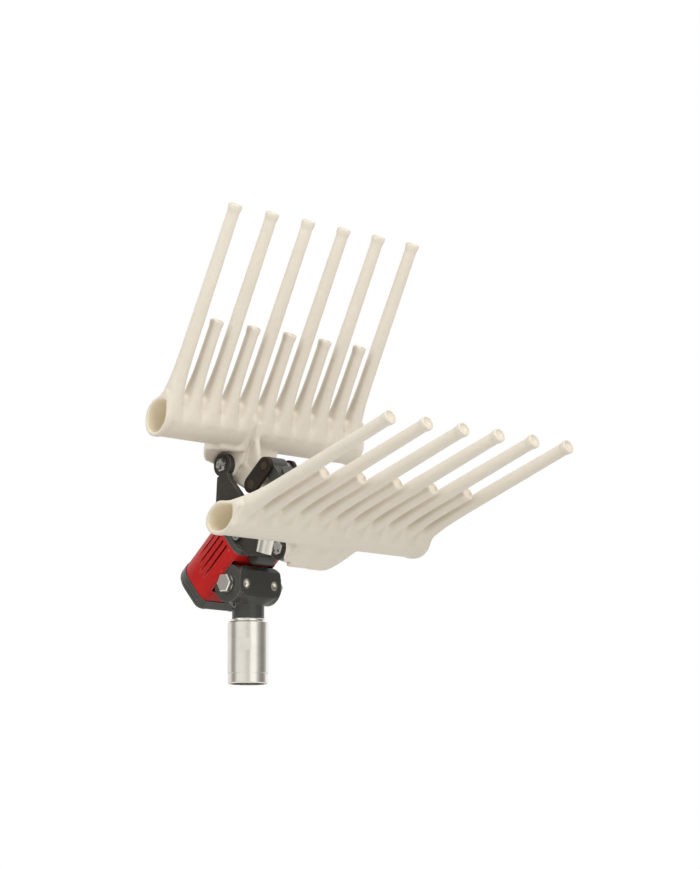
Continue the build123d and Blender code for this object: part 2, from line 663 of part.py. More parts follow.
with BuildPart() as front_head:
    FLANGE_REAR = BODY_FRONT + GASKET
    with BuildSketch(Plane.XY.offset(FLANGE_REAR)):
        barrel_outline(GASKET)
    extrude(amount=FLANGE_TOP - FLANGE_REAR)
    with BuildSketch(Plane.XY.offset(FLANGE_TOP)):
        RectangleRounded(2 * CHEEK_HALF_X, 2 * (YOKE_INNER - FIT), CORNER)
    extrude(amount=CHEEK_TOP - FLANGE_TOP)
    with BuildSketch(across(EXHAUST_FAR + FIT)):
        with Locations(EXHAUST_AT):
            Circle(EXHAUST_RADIUS + FIT)
        with BuildLine():
            Polyline(
                (EXHAUST_AT[0], EXHAUST_AT[1] - EXHAUST_RADIUS - FIT),
                (2 * BODY_RADIUS, EXHAUST_AT[1] - EXHAUST_RADIUS - FIT),
                (2 * BODY_RADIUS, CHEEK_TOP),
                (EXHAUST_AT[0], CHEEK_TOP),
                close=True,
            )
        make_face()
    extrude(amount=EXHAUST_FAR - EXHAUST_NEAR + 2 * FIT, mode=Mode.SUBTRACT)
    with BuildSketch(Plane.XY.offset(FLANGE_TOP)):
        Circle(GLAND_RADIUS)
    extrude(amount=GLAND_TOP - FLANGE_TOP)
    with BuildSketch(Plane.XY.offset(FLANGE_REAR)):
        Circle(ROD_BUSH_RADIUS)
    extrude(amount=GLAND_TOP - FLANGE_REAR, mode=Mode.SUBTRACT)
    with BuildSketch(Plane.XY.offset(FLANGE_REAR)):
        with PolarLocations(SCREW_CIRCLE, 3, FRONT_SCREW_TURN, 180, endpoint=True):
            Circle(SCREW_RADIUS + LOOSE)
    extrude(amount=FLANGE_TOP - FLANGE_REAR, mode=Mode.SUBTRACT)
    with BuildSketch(Plane.XY.offset(FLANGE_TOP - SCREW_SINK)):
        with PolarLocations(SCREW_CIRCLE, 3, FRONT_SCREW_TURN, 180, endpoint=True):
            Circle(SCREW_HEAD + HEAD_CLEAR)
    extrude(amount=GLAND_TOP - FLANGE_TOP, mode=Mode.SUBTRACT)
    for yoke_side in (-1, 1):
        with BuildSketch(across(yoke_side * YOKE_INNER)):
            with Locations(YOKE_SCREW, (-YOKE_SCREW[0], YOKE_SCREW[1])):
                Circle(SCREW_RADIUS)
        extrude(amount=yoke_side * YOKE_THREAD, mode=Mode.SUBTRACT)
save_head(front_head, "front_head")

with BuildPart() as front_head_screws:
    HEAD_SEAT = FLANGE_TOP - SCREW_SINK
    with BuildSketch(Plane.XY.offset(HEAD_SEAT)):
        with PolarLocations(SCREW_CIRCLE, 3, FRONT_SCREW_TURN, 180, endpoint=True):
            Circle(SCREW_HEAD)
    extrude(amount=SCREW_SINK)
    with BuildSketch(Plane.XY.offset(FLANGE_TOP)):
        with PolarLocations(SCREW_CIRCLE, 3, FRONT_SCREW_TURN, 180, endpoint=True):
            RegularPolygon(SCREW_KEY, 6)
    extrude(amount=-KEY_DEPTH * SCREW_SINK, mode=Mode.SUBTRACT)
    with BuildSketch(Plane.XY.offset(HEAD_SEAT)):
        with PolarLocations(SCREW_CIRCLE, 3, FRONT_SCREW_TURN, 180, endpoint=True):
            Circle(SCREW_RADIUS - FIT)
    extrude(amount=-FRONT_THREAD)
save_head(front_head_screws, "front_head_screws")

with BuildPart() as rod_bush:
    with BuildSketch(Plane.XY.offset(FLANGE_REAR)):
        Circle(ROD_BUSH_RADIUS - FIT)
        Circle(ROD_RADIUS + RUN, mode=Mode.SUBTRACT)
    extrude(amount=GLAND_TOP - SEAL_THICK - FLANGE_REAR)
save_head(rod_bush, "rod_bush")

with BuildPart() as rod_seal:
    with BuildSketch(Plane.XY.offset(GLAND_TOP - SEAL_THICK)):
        Circle(ROD_BUSH_RADIUS - FIT)
        Circle(ROD_RADIUS + RUN, mode=Mode.SUBTRACT)
    extrude(amount=SEAL_THICK + SEAL_LIP)
save_head(rod_seal, "rod_seal")

# Exhaust cover: a rounded cross boss in a pocket of the flange and the barrel's lip
with BuildPart() as exhaust_cover:
    with BuildSketch(across(EXHAUST_FAR)):
        with Locations(EXHAUST_AT):
            Circle(EXHAUST_RADIUS)
    extrude(amount=EXHAUST_FAR - EXHAUST_NEAR)
    fillet(exhaust_cover.edges().filter_by(GeomType.CIRCLE), EXHAUST_EDGE)
save_head(exhaust_cover, "exhaust_cover")

# Side yokes: flat forged plates on the front head whose round lobes carry both combs
lower_edge = [(YOKE_FOOT, FLANGE_TOP + FIT), YOKE_WAIST, YOKE_NECK, YOKE_FRONT]
upper_edge = [(-x, z) for x, z in reversed(lower_edge)]


def build_yoke(side):
    """One yoke on the near (-1) or far (+1) side of the front head."""
    with BuildPart() as yoke:
        with BuildSketch(across(side * YOKE_INNER)):
            with BuildLine():
                Polyline(*lower_edge, *upper_edge, close=True)
            make_face()
            with Locations(PIVOT, (-PIVOT[0], PIVOT[1])):
                Circle(YOKE_LOBE)
            with Locations(PIVOT, (-PIVOT[0], PIVOT[1])):
                Circle(PIVOT_BOLT_RADIUS + PIVOT_CLEAR, mode=Mode.SUBTRACT)
            with Locations(YOKE_SCREW, (-YOKE_SCREW[0], YOKE_SCREW[1])):
                Circle(SCREW_RADIUS + LOOSE, mode=Mode.SUBTRACT)
        extrude(amount=-side * YOKE_THICK)
    return yoke


save_head(build_yoke(-1), "near_yoke")
save_head(build_yoke(1), "far_yoke")

with BuildPart() as yoke_screws:
    for yoke_side in (-1, 1):
        seat_y = yoke_side * (YOKE_INNER + YOKE_THICK)
        with BuildSketch(across(seat_y)):
            with Locations(YOKE_SCREW, (-YOKE_SCREW[0], YOKE_SCREW[1])):
                Circle(SCREW_HEAD)
        extrude(amount=-yoke_side * YOKE_SCREW_HEAD)
        with BuildSketch(across(seat_y + yoke_side * YOKE_SCREW_HEAD)):
            with Locations(YOKE_SCREW, (-YOKE_SCREW[0], YOKE_SCREW[1])):
                RegularPolygon(SCREW_KEY, 6)
        extrude(amount=yoke_side * YOKE_SCREW_HEAD / 2, mode=Mode.SUBTRACT)
        with BuildSketch(across(seat_y)):
            with Locations(YOKE_SCREW, (-YOKE_SCREW[0], YOKE_SCREW[1])):
                Circle(SCREW_RADIUS - FIT)
        extrude(amount=yoke_side * (YOKE_THICK + YOKE_THREAD - SCREW_RECESS))
save_head(yoke_screws, "yoke_screws")

# Plated half-round pad across the near yoke's lower horn
pad_along = Vector(cos(radians(PAD_TURN)), 0, sin(radians(PAD_TURN)))
pad_centre = Vector(-PIVOT[0], -YOKE_INNER - YOKE_THICK, PIVOT[1]) - pad_along * PAD_FROM_PIVOT
with BuildPart() as horn_pad:
    pad_back = (pad_along.Z, 0, -pad_along.X)
    pad_plane = Plane(origin=pad_centre, x_dir=pad_along, z_dir=pad_back)
    with BuildSketch(pad_plane.offset(-PAD_FRONT)):
        with BuildLine():
            ThreePointArc((-PAD_HALF, 0), (0, PAD_RISE), (PAD_HALF, 0))
            Line((PAD_HALF, 0), (-PAD_HALF, 0))
        make_face()
    extrude(amount=PAD_FRONT + PAD_BACK)
save_head(horn_pad, "horn_pad")

# Crosshead on the rod's end, its two pins and the sleeves that space the far links
with BuildPart() as crosshead:
    with BuildSketch(across(CROSS_NEAR)):
        with Locations(CROSS_PIN, (-CROSS_PIN[0], CROSS_PIN[1])):
            Circle(CROSS_RADIUS)
        with Locations((0, CROSS_PIN[1])):
            Rectangle(2 * abs(CROSS_PIN[0]), CROSS_BAR)
    extrude(amount=CROSS_NEAR - CROSS_FAR)
    with BuildSketch(Plane.XY.offset(CROSS_PIN[1] - HUB_HALF)):
        Circle(CROSS_HUB)
    extrude(amount=2 * HUB_HALF)
    with BuildSketch(Plane.XY.offset(CROSS_PIN[1] - HUB_HALF)):
        Circle(ROD_RADIUS + FIT)
    extrude(amount=ROD_REACH + HUB_HALF + FIT, mode=Mode.SUBTRACT)
    with BuildSketch(Plane.XZ):
        with Locations(CROSS_PIN, (-CROSS_PIN[0], CROSS_PIN[1])):
            Circle(LINK_PIN_RADIUS + FIT)
    extrude(amount=LINK_OUTER, both=True, mode=Mode.SUBTRACT)
save_head(crosshead, "crosshead")

with BuildPart() as cross_pin:
    with BuildSketch(Plane.XZ):
        with Locations(CROSS_PIN):
            Circle(LINK_PIN_RADIUS)
    extrude(amount=LINK_OUTER, both=True)
save_pair(cross_pin, "cross_pin")

with BuildPart() as cross_sleeve:
    with BuildSketch(across(LINK_INNER - SIDE_PLAY)):
        with Locations(CROSS_PIN):
            Circle(LINK_PIN_RADIUS + SLEEVE_WALL)
            Circle(LINK_PIN_RADIUS + FIT, mode=Mode.SUBTRACT)
    extrude(amount=LINK_INNER - SIDE_PLAY - CROSS_FAR - FIT)
save_pair(cross_sleeve, "cross_sleeve")


# Links: stadium plates that turn on the comb's lever pin; their crosshead holes have the open pivot's play
def build_link(side):
    """One link plate on the near (-1) or far (+1) side of the upper comb's lever."""
    with BuildPart() as link:
        with BuildSketch(across(side * LINK_INNER)):
            with Locations(LEVER_PIN, (LEVER_PIN[0], LEVER_PIN[1] + LINK_LENGTH)):
                Circle(LINK_HALF_WIDTH)
            make_hull()
            with Locations(LEVER_PIN):
                Circle(LINK_PIN_RADIUS + RUN, mode=Mode.SUBTRACT)
            with Locations((LEVER_PIN[0], LEVER_PIN[1] + LINK_LENGTH)):
                Circle(LINK_PIN_RADIUS + OPEN_PIVOT_PLAY, mode=Mode.SUBTRACT)
        extrude(amount=-side * LINK_THICK)
    return link


save_pair(build_link(-1), "near_link")
save_pair(build_link(1), "far_link")

with BuildPart() as lever_pin:
    with BuildSketch(Plane.XZ):
        with Locations(LEVER_PIN):
            Circle(LINK_PIN_RADIUS)
    extrude(amount=LINK_OUTER, both=True)
save_pair(lever_pin, "lever_pin")

# Combs: a pod round the pivot under a hollow tube; each tooth is a turned form that swells into the tube
long_teeth = [((i - (LONG_TEETH - 1) / 2) * TOOTH_PITCH, LONG_TOOTH, 1.0) for i in range(LONG_TEETH)]
short_teeth = [
    ((i - (LONG_TEETH - 2) / 2) * TOOTH_PITCH, SHORT_TOOTH, SHORT_GIRTH) for i in range(LONG_TEETH - 1)
]
pod_along = Vector(cos(radians(POD_TURN)), sin(radians(POD_TURN)))
pod_back = Vector(sin(radians(POD_TURN)), -cos(radians(POD_TURN)))


def beside_yoke(lead):
    """Corners of the room kept for a yoke, whose edge lies the given distance ahead of the pivot."""
    face_centre = Vector(*PIVOT) - pod_back * lead
    reach = 4 * POD_RADIUS
    return [
        face_centre - pod_along * reach,
        face_centre + pod_along * reach,
        face_centre + (pod_along + pod_back) * reach,
        face_centre + (pod_back - pod_along) * reach,
    ]


with BuildPart() as rake:
    tube_axis = RAKE.from_local_coords((-TUBE_SET, 0, 0))
    tube_plane = Plane(origin=tube_axis, x_dir=RAKE.x_dir, z_dir=-RAKE.y_dir)
    for end_y, length, lead in (
        (CORE_HALF, CORE_HALF - POD_NEAR + GUSSET_REACH, POD_LEAD),
        (LIP_FAR, LIP_FAR - CORE_HALF, LIP_LEAD),
    ):
        with BuildSketch(across(end_y)):
            with Locations(PIVOT):
                Circle(POD_RADIUS)
            with Locations(TUBE_AT):
                Circle(TUBE_B)
            make_hull()
            with BuildLine():
                Polyline(*beside_yoke(lead), close=True)
            make_face(mode=Mode.SUBTRACT)
        extrude(amount=length)
    down = Vector(PIVOT[0] - TUBE_AT[0], 0, PIVOT[1] - TUBE_AT[1])
    gusset_plane = Plane(origin=RAKE.origin, x_dir=(0, 1, 0), z_dir=Vector(0, 1, 0).cross(down))
    with BuildSketch(gusset_plane):
        with BuildLine():
            Polyline(
                (POD_NEAR, GUSSET_ROOT),
                (POD_NEAR - GUSSET_KNEE[0], GUSSET_KNEE[1]),
                (POD_NEAR - GUSSET_REACH, GUSSET_FOOT),
                (POD_NEAR - 2 * GUSSET_REACH, GUSSET_FOOT),
                (POD_NEAR - 2 * GUSSET_REACH, 2 * GUSSET_ROOT),
                (POD_NEAR, 2 * GUSSET_ROOT),
                close=True,
            )
        make_face()
    extrude(amount=3 * POD_RADIUS, both=True, mode=Mode.SUBTRACT)
    with BuildSketch(across(-CORE_HALF)):
        with Locations(PIVOT, Vector(*PIVOT) + pod_along * 2 * POD_RADIUS):
            Circle(CUP_RADIUS)
        make_hull()
    extrude(amount=2 * CORE_HALF, mode=Mode.SUBTRACT)
    with BuildSketch(across(CORE_HALF)):
        with Locations(PIVOT):
            Circle(CUP_RADIUS)
    extrude(amount=CORE_HALF - LIP_FAR, mode=Mode.SUBTRACT)
    with BuildSketch(tube_plane.offset(-TUBE_FAR)):
        Ellipse(TUBE_B, TUBE_A)
        with Locations((TUBE_SET, RIDGE_AT)):
            Circle(RIDGE_RADIUS)
        make_hull()
    extrude(amount=TUBE_FAR - TUBE_NEAR)
    for tooth_y, length, girth in long_teeth + short_teeth:
        tooth_plane = Plane(
            origin=RAKE.from_local_coords((0, tooth_y, 0)), x_dir=RAKE.x_dir, z_dir=-RAKE.y_dir
        )
        with BuildSketch(tooth_plane):
            with BuildLine():
                swell = Spline(TOOTH_ROOT, *[(girth * radius, along) for radius, along in TOOTH_SWELL])
                stem_end = (swell @ 1).X - STEM_TAPER * (length - TIP_FLARE - TOOTH_SWELL[-1][1])
                stem = Line(swell @ 1, (stem_end, length - TIP_FLARE))
                tip = Spline(stem @ 1, (TIP_RADIUS, length - TIP_BAND), tangents=(stem % 1, (0, 1)))
                band = Line(tip @ 1, (TIP_RADIUS, length - TIP_ROUND))
                crown = RadiusArc(band @ 1, (TIP_RADIUS - TIP_ROUND, length), -TIP_ROUND)
                Polyline(
                    crown @ 1,
                    (TIP_BORE, length),
                    (TIP_FLOOR, length - TIP_DEPTH),
                    (0, length - TIP_DEPTH),
                    (0, TOOTH_ROOT[1]),
                    TOOTH_ROOT,
                )
            make_face()
        revolve(axis=Axis(tooth_plane.origin, RAKE.z_dir))
    with BuildSketch(tube_plane.offset(-TUBE_NEAR)):
        Rectangle(4 * TUBE_A, 4 * TUBE_A)
    extrude(amount=TUBE_A, mode=Mode.SUBTRACT)
    with BuildSketch(Plane.XZ):
        with Locations(PIVOT):
            Circle(CORE_RADIUS)
        with Locations(TUBE_AT):
            Circle(TUBE_B)
        make_hull()
    extrude(amount=CORE_HALF, both=True)
    with BuildSketch(Plane.XZ):
        with Locations(PIVOT):
            Circle(CORE_RADIUS - EDGE_BREAK)
        with Locations(LEVER_PIN):
            Circle(LEVER_END)
        make_hull()
    extrude(amount=LEVER_HALF, both=True)
    for rib_side in (-1, 1):
        with BuildSketch(across(rib_side * LEVER_HALF)):
            with Locations(PIVOT):
                Circle(CORE_RADIUS - EDGE_BREAK)
            with Locations(LEVER_PIN):
                Circle(LEVER_END)
            with Locations(RIB_AT):
                Circle(RIB_RADIUS)
            make_hull()
        extrude(amount=rib_side * RIB_THICK)
    with BuildSketch(Plane.XZ):
        with Locations(PIVOT):
            Circle(RAKE_BUSH_RADIUS)
        with Locations(LEVER_PIN):
            Circle(LINK_PIN_RADIUS + FIT)
    extrude(amount=CORE_HALF, both=True, mode=Mode.SUBTRACT)
    with BuildSketch(tube_plane):
        Ellipse(TUBE_B - TUBE_WALL, TUBE_A - TUBE_WALL)
        with Locations((TUBE_SET, HOLLOW_AT)):
            Circle(HOLLOW_RADIUS)
        make_hull()
    extrude(amount=2 * TUBE_FAR, both=True, mode=Mode.SUBTRACT)
# The lower comb is the same moulding turned half round about the head's axis
save_head(rake, "upper_rake")
save(rake.part.rotate(Axis.Z, 180), "lower_rake", HEAD.location)

with BuildPart() as rake_bushes:
    for bush_y in (-CORE_HALF, CORE_HALF):
        with BuildSketch(across(bush_y)):
            with Locations(PIVOT):
                Circle(RAKE_BUSH_RADIUS - FIT)
                Circle(PIVOT_BOLT_RADIUS + RUN, mode=Mode.SUBTRACT)
        extrude(amount=BUSH_LENGTH if bush_y > 0 else -BUSH_LENGTH)
save_pair(rake_bushes, "rake_bushes")

YOKE_OUTER = YOKE_INNER + YOKE_THICK
with BuildPart() as pivot_bolt:
    with BuildSketch(across(-YOKE_OUTER)):
        with Locations(PIVOT):
            RegularPolygon(PIVOT_HEX / 2, 6, major_radius=False)
    extrude(amount=PIVOT_HEAD)
    chamfer(pivot_bolt.faces().sort_by(Axis.Y)[0].edges(), EDGE_BREAK)
    with BuildSketch(across(-YOKE_OUTER)):
        with Locations(PIVOT):
            Circle(PIVOT_BOLT_RADIUS)
    extrude(amount=-(2 * YOKE_OUTER + PIVOT_NUT + PIVOT_END))
save_pair(pivot_bolt, "pivot_bolt")

with BuildPart() as pivot_nut:
    with BuildSketch(across(YOKE_OUTER)):
        with Locations(PIVOT):
            RegularPolygon(PIVOT_NUT_HEX / 2, 6, major_radius=False)
            Circle(PIVOT_BOLT_RADIUS + FIT, mode=Mode.SUBTRACT)
    extrude(amount=-PIVOT_NUT)
save_pair(pivot_nut, "pivot_nut")
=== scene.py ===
import json
from itertools import product
from math import cos, radians, sin

import bpy
import numpy as np
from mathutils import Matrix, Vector


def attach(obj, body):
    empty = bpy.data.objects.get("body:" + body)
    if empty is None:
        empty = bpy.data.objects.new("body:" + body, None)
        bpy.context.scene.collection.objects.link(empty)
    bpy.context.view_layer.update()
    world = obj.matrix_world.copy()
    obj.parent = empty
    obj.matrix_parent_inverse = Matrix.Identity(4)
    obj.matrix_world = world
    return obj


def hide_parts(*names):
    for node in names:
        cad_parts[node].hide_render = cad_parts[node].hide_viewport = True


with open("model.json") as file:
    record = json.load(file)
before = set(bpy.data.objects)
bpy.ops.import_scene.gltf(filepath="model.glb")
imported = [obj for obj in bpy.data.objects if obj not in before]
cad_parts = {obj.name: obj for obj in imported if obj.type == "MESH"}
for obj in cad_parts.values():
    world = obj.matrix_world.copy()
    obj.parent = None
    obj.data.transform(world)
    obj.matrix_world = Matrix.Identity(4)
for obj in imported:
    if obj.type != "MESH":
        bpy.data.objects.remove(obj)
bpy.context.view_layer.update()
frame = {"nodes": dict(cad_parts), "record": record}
scene = bpy.context.scene

# The head's own frame, millimetres: X towards the lower comb, Y along the tubes, Z along the cylinder
MILLIMETRES = 1000
LEAN = radians(48.4)
HEAD_X = np.array([cos(LEAN), 0.0, -sin(LEAN)])
HEAD_Z = np.array([sin(LEAN), 0.0, cos(LEAN)])
TILT_DROP, TILT_HEIGHT = 33.0, 88.0
HEAD_ORIGIN = np.array([-TILT_DROP * cos(LEAN), 0.0, TILT_HEIGHT + TILT_DROP * sin(LEAN)])

# Places of the comb in the head's frame, X and Z in millimetres
PIVOT = np.array([-54.0, 63.5])
LEVER_TURN, LEVER_LENGTH = radians(15), 35.6
LEVER_PIN = PIVOT + LEVER_LENGTH * np.array([cos(LEVER_TURN), sin(LEVER_TURN)])
RIB = np.array([-62.4, 105.4])
TUBE = np.array([-62.5, 99.0])
POD_TURN = radians(41.6)
POD_ALONG = np.array([cos(POD_TURN), sin(POD_TURN)])
POD_BACK = np.array([sin(POD_TURN), -cos(POD_TURN)])

# Tube axes: w across the tube, y along it, l along the teeth from its axis
OPEN = radians(22.3)
ACROSS = np.array([cos(OPEN), sin(OPEN)])
ALONG = np.array([-sin(OPEN), cos(OPEN)])

# Tube: half sizes of its section, wall, end bead, and the ridge outside and inside under the teeth
TUBE_B, TUBE_A, TUBE_WALL, TUBE_SET = 13.5, 17.5, 2.7, -2.6
TUBE_MIDDLE, TUBE_HALF, BEAD_RISE, BEAD_RUN = 3.0, 124.0, 0.7, 6.5
RIDGE_FROM, RIDGE_AT, RIDGE_RADIUS, HOLLOW_AT, HOLLOW_RADIUS = 0.5, 18.5, 5.5, 13.0, 3.6
RIDGE_BLEND, BEAD_BLEND, END_BLEND, MOUTH_BLEND = 1.2, 1.0, 2.0, 1.6

# Teeth: tapering stem with a bell-shaped root, then its flared and dished end, the dish with a weak painted
# glow
PITCH, LONG_TOOTH, SHORT_TOOTH, SHORT_GIRTH = 45.0, 197.0, 94.0, 0.93
TEETH = [((i - 2.5) * PITCH, LONG_TOOTH, 1.0) for i in range(6)]
TEETH += [((i - 2) * PITCH, SHORT_TOOTH, SHORT_GIRTH) for i in range(5)]
STEM, TAPER, SWELL, SWELL_SPAN = 6.65, 0.0065, 4.6, 29.4
ROUND_SPAN, SQUARE_SIDE = (12.0, 32.0), (-3.0, 3.0)
ROOT_TUCK, TUCK_FROM, ROOT_DEPTH, STUB = 0.12, 3.0, 9.0, 60.0
NEIGHBOUR_BLEND, STUB_BLEND, ROOT_BLEND = 1.2, 0.6, 3.0
STEM_SIDES, STEM_BASE, BASE_INSET, STEM_SKIN = 40, 44.0, 0.1, 0.03
STEM_START, DENSE_END, DENSE_STEP, SPARSE_ROWS = 50.0, 75.0, 3.0, 8
TIP_RADIUS, TIP_FLARE, TIP_BAND, TIP_ROUND = 6.2, 8.0, 2.8, 1.0
DISH_RADIUS, DISH_DEPTH, DISH_EDGE, DISH_GLOW = 5.0, 2.6, 0.05, 0.2
FLARE_ROWS, RIM_ROWS, DISH_ROWS = 6, 5, 6

# Arcs that sink the tube's skin between the teeth: their depths, and the spans they come and go over
FRONT_SINK, BACK_SINK, SINK_CURVE = 3.4, 1.3, 0.96
FRONT_SPAN, BACK_SPAN, SINK_FADE, SIDE_FADE = (1.0, 18.0), (10.5, 14.0), (22.0, 32.0), (0.0, 5.0)

# Pod round the pivot: hood, gusset, lip, column, cup and niche
POD_RADIUS, POD_FAR, POD_LEAD = 16.5, 17.0, 2.5
HOOD_AT, HOOD_RADIUS = (-5.0, -6.0), 9.5
GUSSET = np.array([[-30.7, 42.0], [-40.2, 32.0], [-45.2, 11.5]])
LIP_FAR, LIP_LEAD = 27.5, 9.0
COLUMN_NEAR, COLUMN_FAR, COLUMN_RADIUS, COLUMN_TOP = -21.0, -15.0, 11.8, (1.5, 9.0)
CUP_RADIUS, NICHE_RADIUS, NICHE_RUN = 12.4, 12.39, 33.0
BACK_BLEND, GUSSET_BLEND, GUSSET_BEND, GUSSET_WALL = 2.5, 3.5, 8.0, 3.0
FACE_BLEND, LIP_BLEND, COLUMN_BLEND, POD_BLEND, CUP_BLEND = 2.0, 3.0, 8.0, 1.8, 2.2

# Core, lever and rib, with the bores for pivot bolt and pin
PIVOT_BORE, PIN_BORE = 6.98, 4.0
CORE_RADIUS, CORE_TOP, CORE_HALF = 11.5, 8.5, 17.0
LEVER_ROOT, LEVER_END, LEVER_HALF = 10.7, 8.0, 12.0
RIB_RADIUS, RIB_MIDDLE, RIB_HALF = 3.5, 8.5, 3.0
CREST_TOP, CREST_TIP, CREST_FOOT, CREST_RADIUS = (7.2, 9.0), 2.2, (8.2, -13.0), 3.2
CORE_BLEND, CREST_BLEND, RIB_BLEND = 3.0, 3.0, 3.5
RIB_JOIN, LEVER_JOIN, LEVER_BLEND = 1.5, 2.5, 2.0

# Net of points over the comb, and the masks of painted glow and painted shade it carries
NET_STEP, NET_SPANS = 1.15, ((-24, 41), (-124, 130.5), (-58, 63))
NET_PASSES, NET_NUDGE, NET_SLOPE, NET_ROOM = 4, 0.05, 0.2, 0.62
VALLEY, VALLEY_LEAST, VALLEY_SPAN = 8.0, 0.3, (22.0, 46.0)
TIP_FADE, GLOW_REACH = (-6.0, 14.0), 0.8
FAR_AWAY, TINY = 1e3, 1e-9


def from_tube(w, l):
    """A place in the head's frame, X and Z: the tube's axis plus w across it and l along the teeth."""
    return TUBE + np.asarray(w)[..., None] * ACROSS + np.asarray(l)[..., None] * ALONG


def to_head(w, y, l):
    """Tube axes to all three of the head's axes."""
    p = from_tube(w, l)
    return np.stack([p[..., 0], y, p[..., 1]], axis=-1)


def to_object(points):
    """Head frame in millimetres to the object's frame in metres: origin + x X + y Y + z Z."""
    spot = HEAD_ORIGIN + points[:, :1] * HEAD_X + points[:, 2:] * HEAD_Z
    spot[:, 1] += points[:, 1]
    return spot / MILLIMETRES


def soft_min(a, b, k):
    """Union of two distance fields with a fillet: the lower one, less a parabola where they are within k."""
    blend = np.maximum(k - np.abs(a - b), 0) / k
    return np.minimum(a, b) - blend * blend * k / 4


def soft_max(a, b, k):
    """Intersection with a rounded edge, the mirror image of soft_min."""
    return -soft_min(-a, -b, k)


def smooth_step(value, low, high):
    """0 below low, 1 above high and a cubic ease between them."""
    t = np.clip((value - low) / (high - low), 0, 1)
    return t * t * (3 - 2 * t)


def round_hole(p, centre, radius):
    """Distance field of a bore along Y: how far a point is from the bore's axis, less the radius."""
    return np.hypot(*np.moveaxis(p - centre, -1, 0)) - radius


def round_cone(p, a, ra, b, rb):
    """Distance in a plane to the hull of two circles: the point in its axes against its slanted side."""
    axis = b - a
    length = np.hypot(*axis)
    axis = axis / length
    q = p - a
    along = q @ axis
    aside = np.abs(q[..., 0] * axis[1] - q[..., 1] * axis[0])
    slant = (ra - rb) / length
    rise = np.sqrt(1 - slant * slant)
    reach = along * rise - aside * slant
    side = aside * rise + along * slant - ra
    near_a = np.hypot(aside, along) - ra
    near_b = np.hypot(aside, along - length) - rb
    return np.where(reach < 0, near_a, np.where(reach > length * rise, near_b, side))


def outward(a, b):
    """Unit direction square to the way from a to b, on its right."""
    way = b - a
    return np.array([way[1], -way[0]]) / np.hypot(*way)


def triangle(p, corners):
    """Distance field inside a triangle: the greatest of the signed distances to its three sides."""
    return np.max([(p - a) @ outward(a, b) for a, b in zip(corners, corners[1:] + corners[:1])], axis=0)


def egg(w, l, wall, ridge_at, ridge_radius):
    """The tube's section: an ellipse set back from the teeth, drawn out to a round ridge under them."""
    across, along = TUBE_B - wall, TUBE_A - wall
    ratio = np.hypot((w - TUBE_SET) / across, l / along)
    slope = np.hypot((w - TUBE_SET) / across**2, l / along**2) + TINY
    ridge = round_cone(np.stack([w, l], axis=-1), np.array([TUBE_SET, RIDGE_FROM]), across,
                       np.array([0.0, ridge_at]), ridge_radius)
    return soft_min(ratio * (ratio - 1) / slope, ridge, RIDGE_BLEND)


def hollow_field(w, l):
    """Distance field of the tube's open inside."""
    return egg(w, l, TUBE_WALL, HOLLOW_AT, HOLLOW_RADIUS)


def tooth_radius(l, girth):
    """Radius along a tooth: a slowly tapering stem plus a bell curve at its root."""
    return girth * (STEM - TAPER * l) + SWELL * np.exp(-(l / SWELL_SPAN) ** 2)


def scallop(w, y, l):
    """How far the tube's skin sinks between the teeth: arcs from tooth to tooth, deepest at the slits."""
    u = np.abs((y + PITCH / 4) % (PITCH / 2) - PITCH / 4) / (PITCH / 4)
    front = FRONT_SINK * smooth_step(l, *FRONT_SPAN) * smooth_step(w, *SIDE_FADE)
    back = BACK_SINK * smooth_step(l, *BACK_SPAN) * smooth_step(-w, *SIDE_FADE)
    sink = (front + back) * (1 - smooth_step(l, *SINK_FADE))
    return sink * (1 - np.sqrt(1 - SINK_CURVE * u * u))


def root_field(w, y, l):
    """The tooth roots: squarish sections at the tube's front, round up the stem, cut off at the stub."""
    square = 2.0 + (1 - smooth_step(l, *ROUND_SPAN)) * smooth_step(w, *SQUARE_SIDE)
    roots = np.full(w.shape, FAR_AWAY)
    for tooth_y, _, girth in TEETH:
        spread = (np.abs(w) ** square + np.abs(y - tooth_y) ** square) ** (1 / square)
        radius = tooth_radius(l, girth) - ROOT_TUCK * np.minimum(l - TUCK_FROM, 0) ** 2
        roots = soft_min(roots, spread - radius, NEIGHBOUR_BLEND)
    return soft_max(roots, np.maximum(l - STUB, -ROOT_DEPTH - l), STUB_BLEND)


def gusset_field(y, depth):
    """How far a point is past the pod's near end: an upright wall, or the two slopes of the gusset."""
    slopes = []
    for a, b in zip(GUSSET, GUSSET[1:]):
        out = outward(a, b)
        slopes.append((y - a[0]) * out[0] + (depth - a[1]) * out[1])
    return soft_min(GUSSET[0][0] - y, soft_max(slopes[0], slopes[1], GUSSET_BEND), GUSSET_WALL)


def pod_field(p, y):
    """The pod: hood with gusset, lip at its far end, and the column that climbs on to the tube's front."""
    behind = (p - PIVOT) @ POD_BACK
    down = (PIVOT - TUBE) / np.hypot(*(PIVOT - TUBE))
    shell = round_cone(p, PIVOT, POD_RADIUS, from_tube(*HOOD_AT), HOOD_RADIUS)
    hood = soft_max(shell, behind + POD_LEAD, BACK_BLEND)
    hood = soft_max(hood, gusset_field(y, (p - TUBE) @ down), GUSSET_BLEND)
    hood = soft_max(hood, y - POD_FAR, FACE_BLEND)
    lip = soft_max(shell, behind + LIP_LEAD, BACK_BLEND)
    lip = soft_max(lip, np.maximum(y - LIP_FAR, -y), LIP_BLEND)
    column = round_cone(p, PIVOT, CORE_RADIUS, from_tube(*COLUMN_TOP), COLUMN_RADIUS)
    column = soft_max(column, np.maximum(COLUMN_NEAR - y, y - COLUMN_FAR), FACE_BLEND)
    return soft_min(soft_min(hood, lip, LIP_BLEND), column, COLUMN_BLEND)


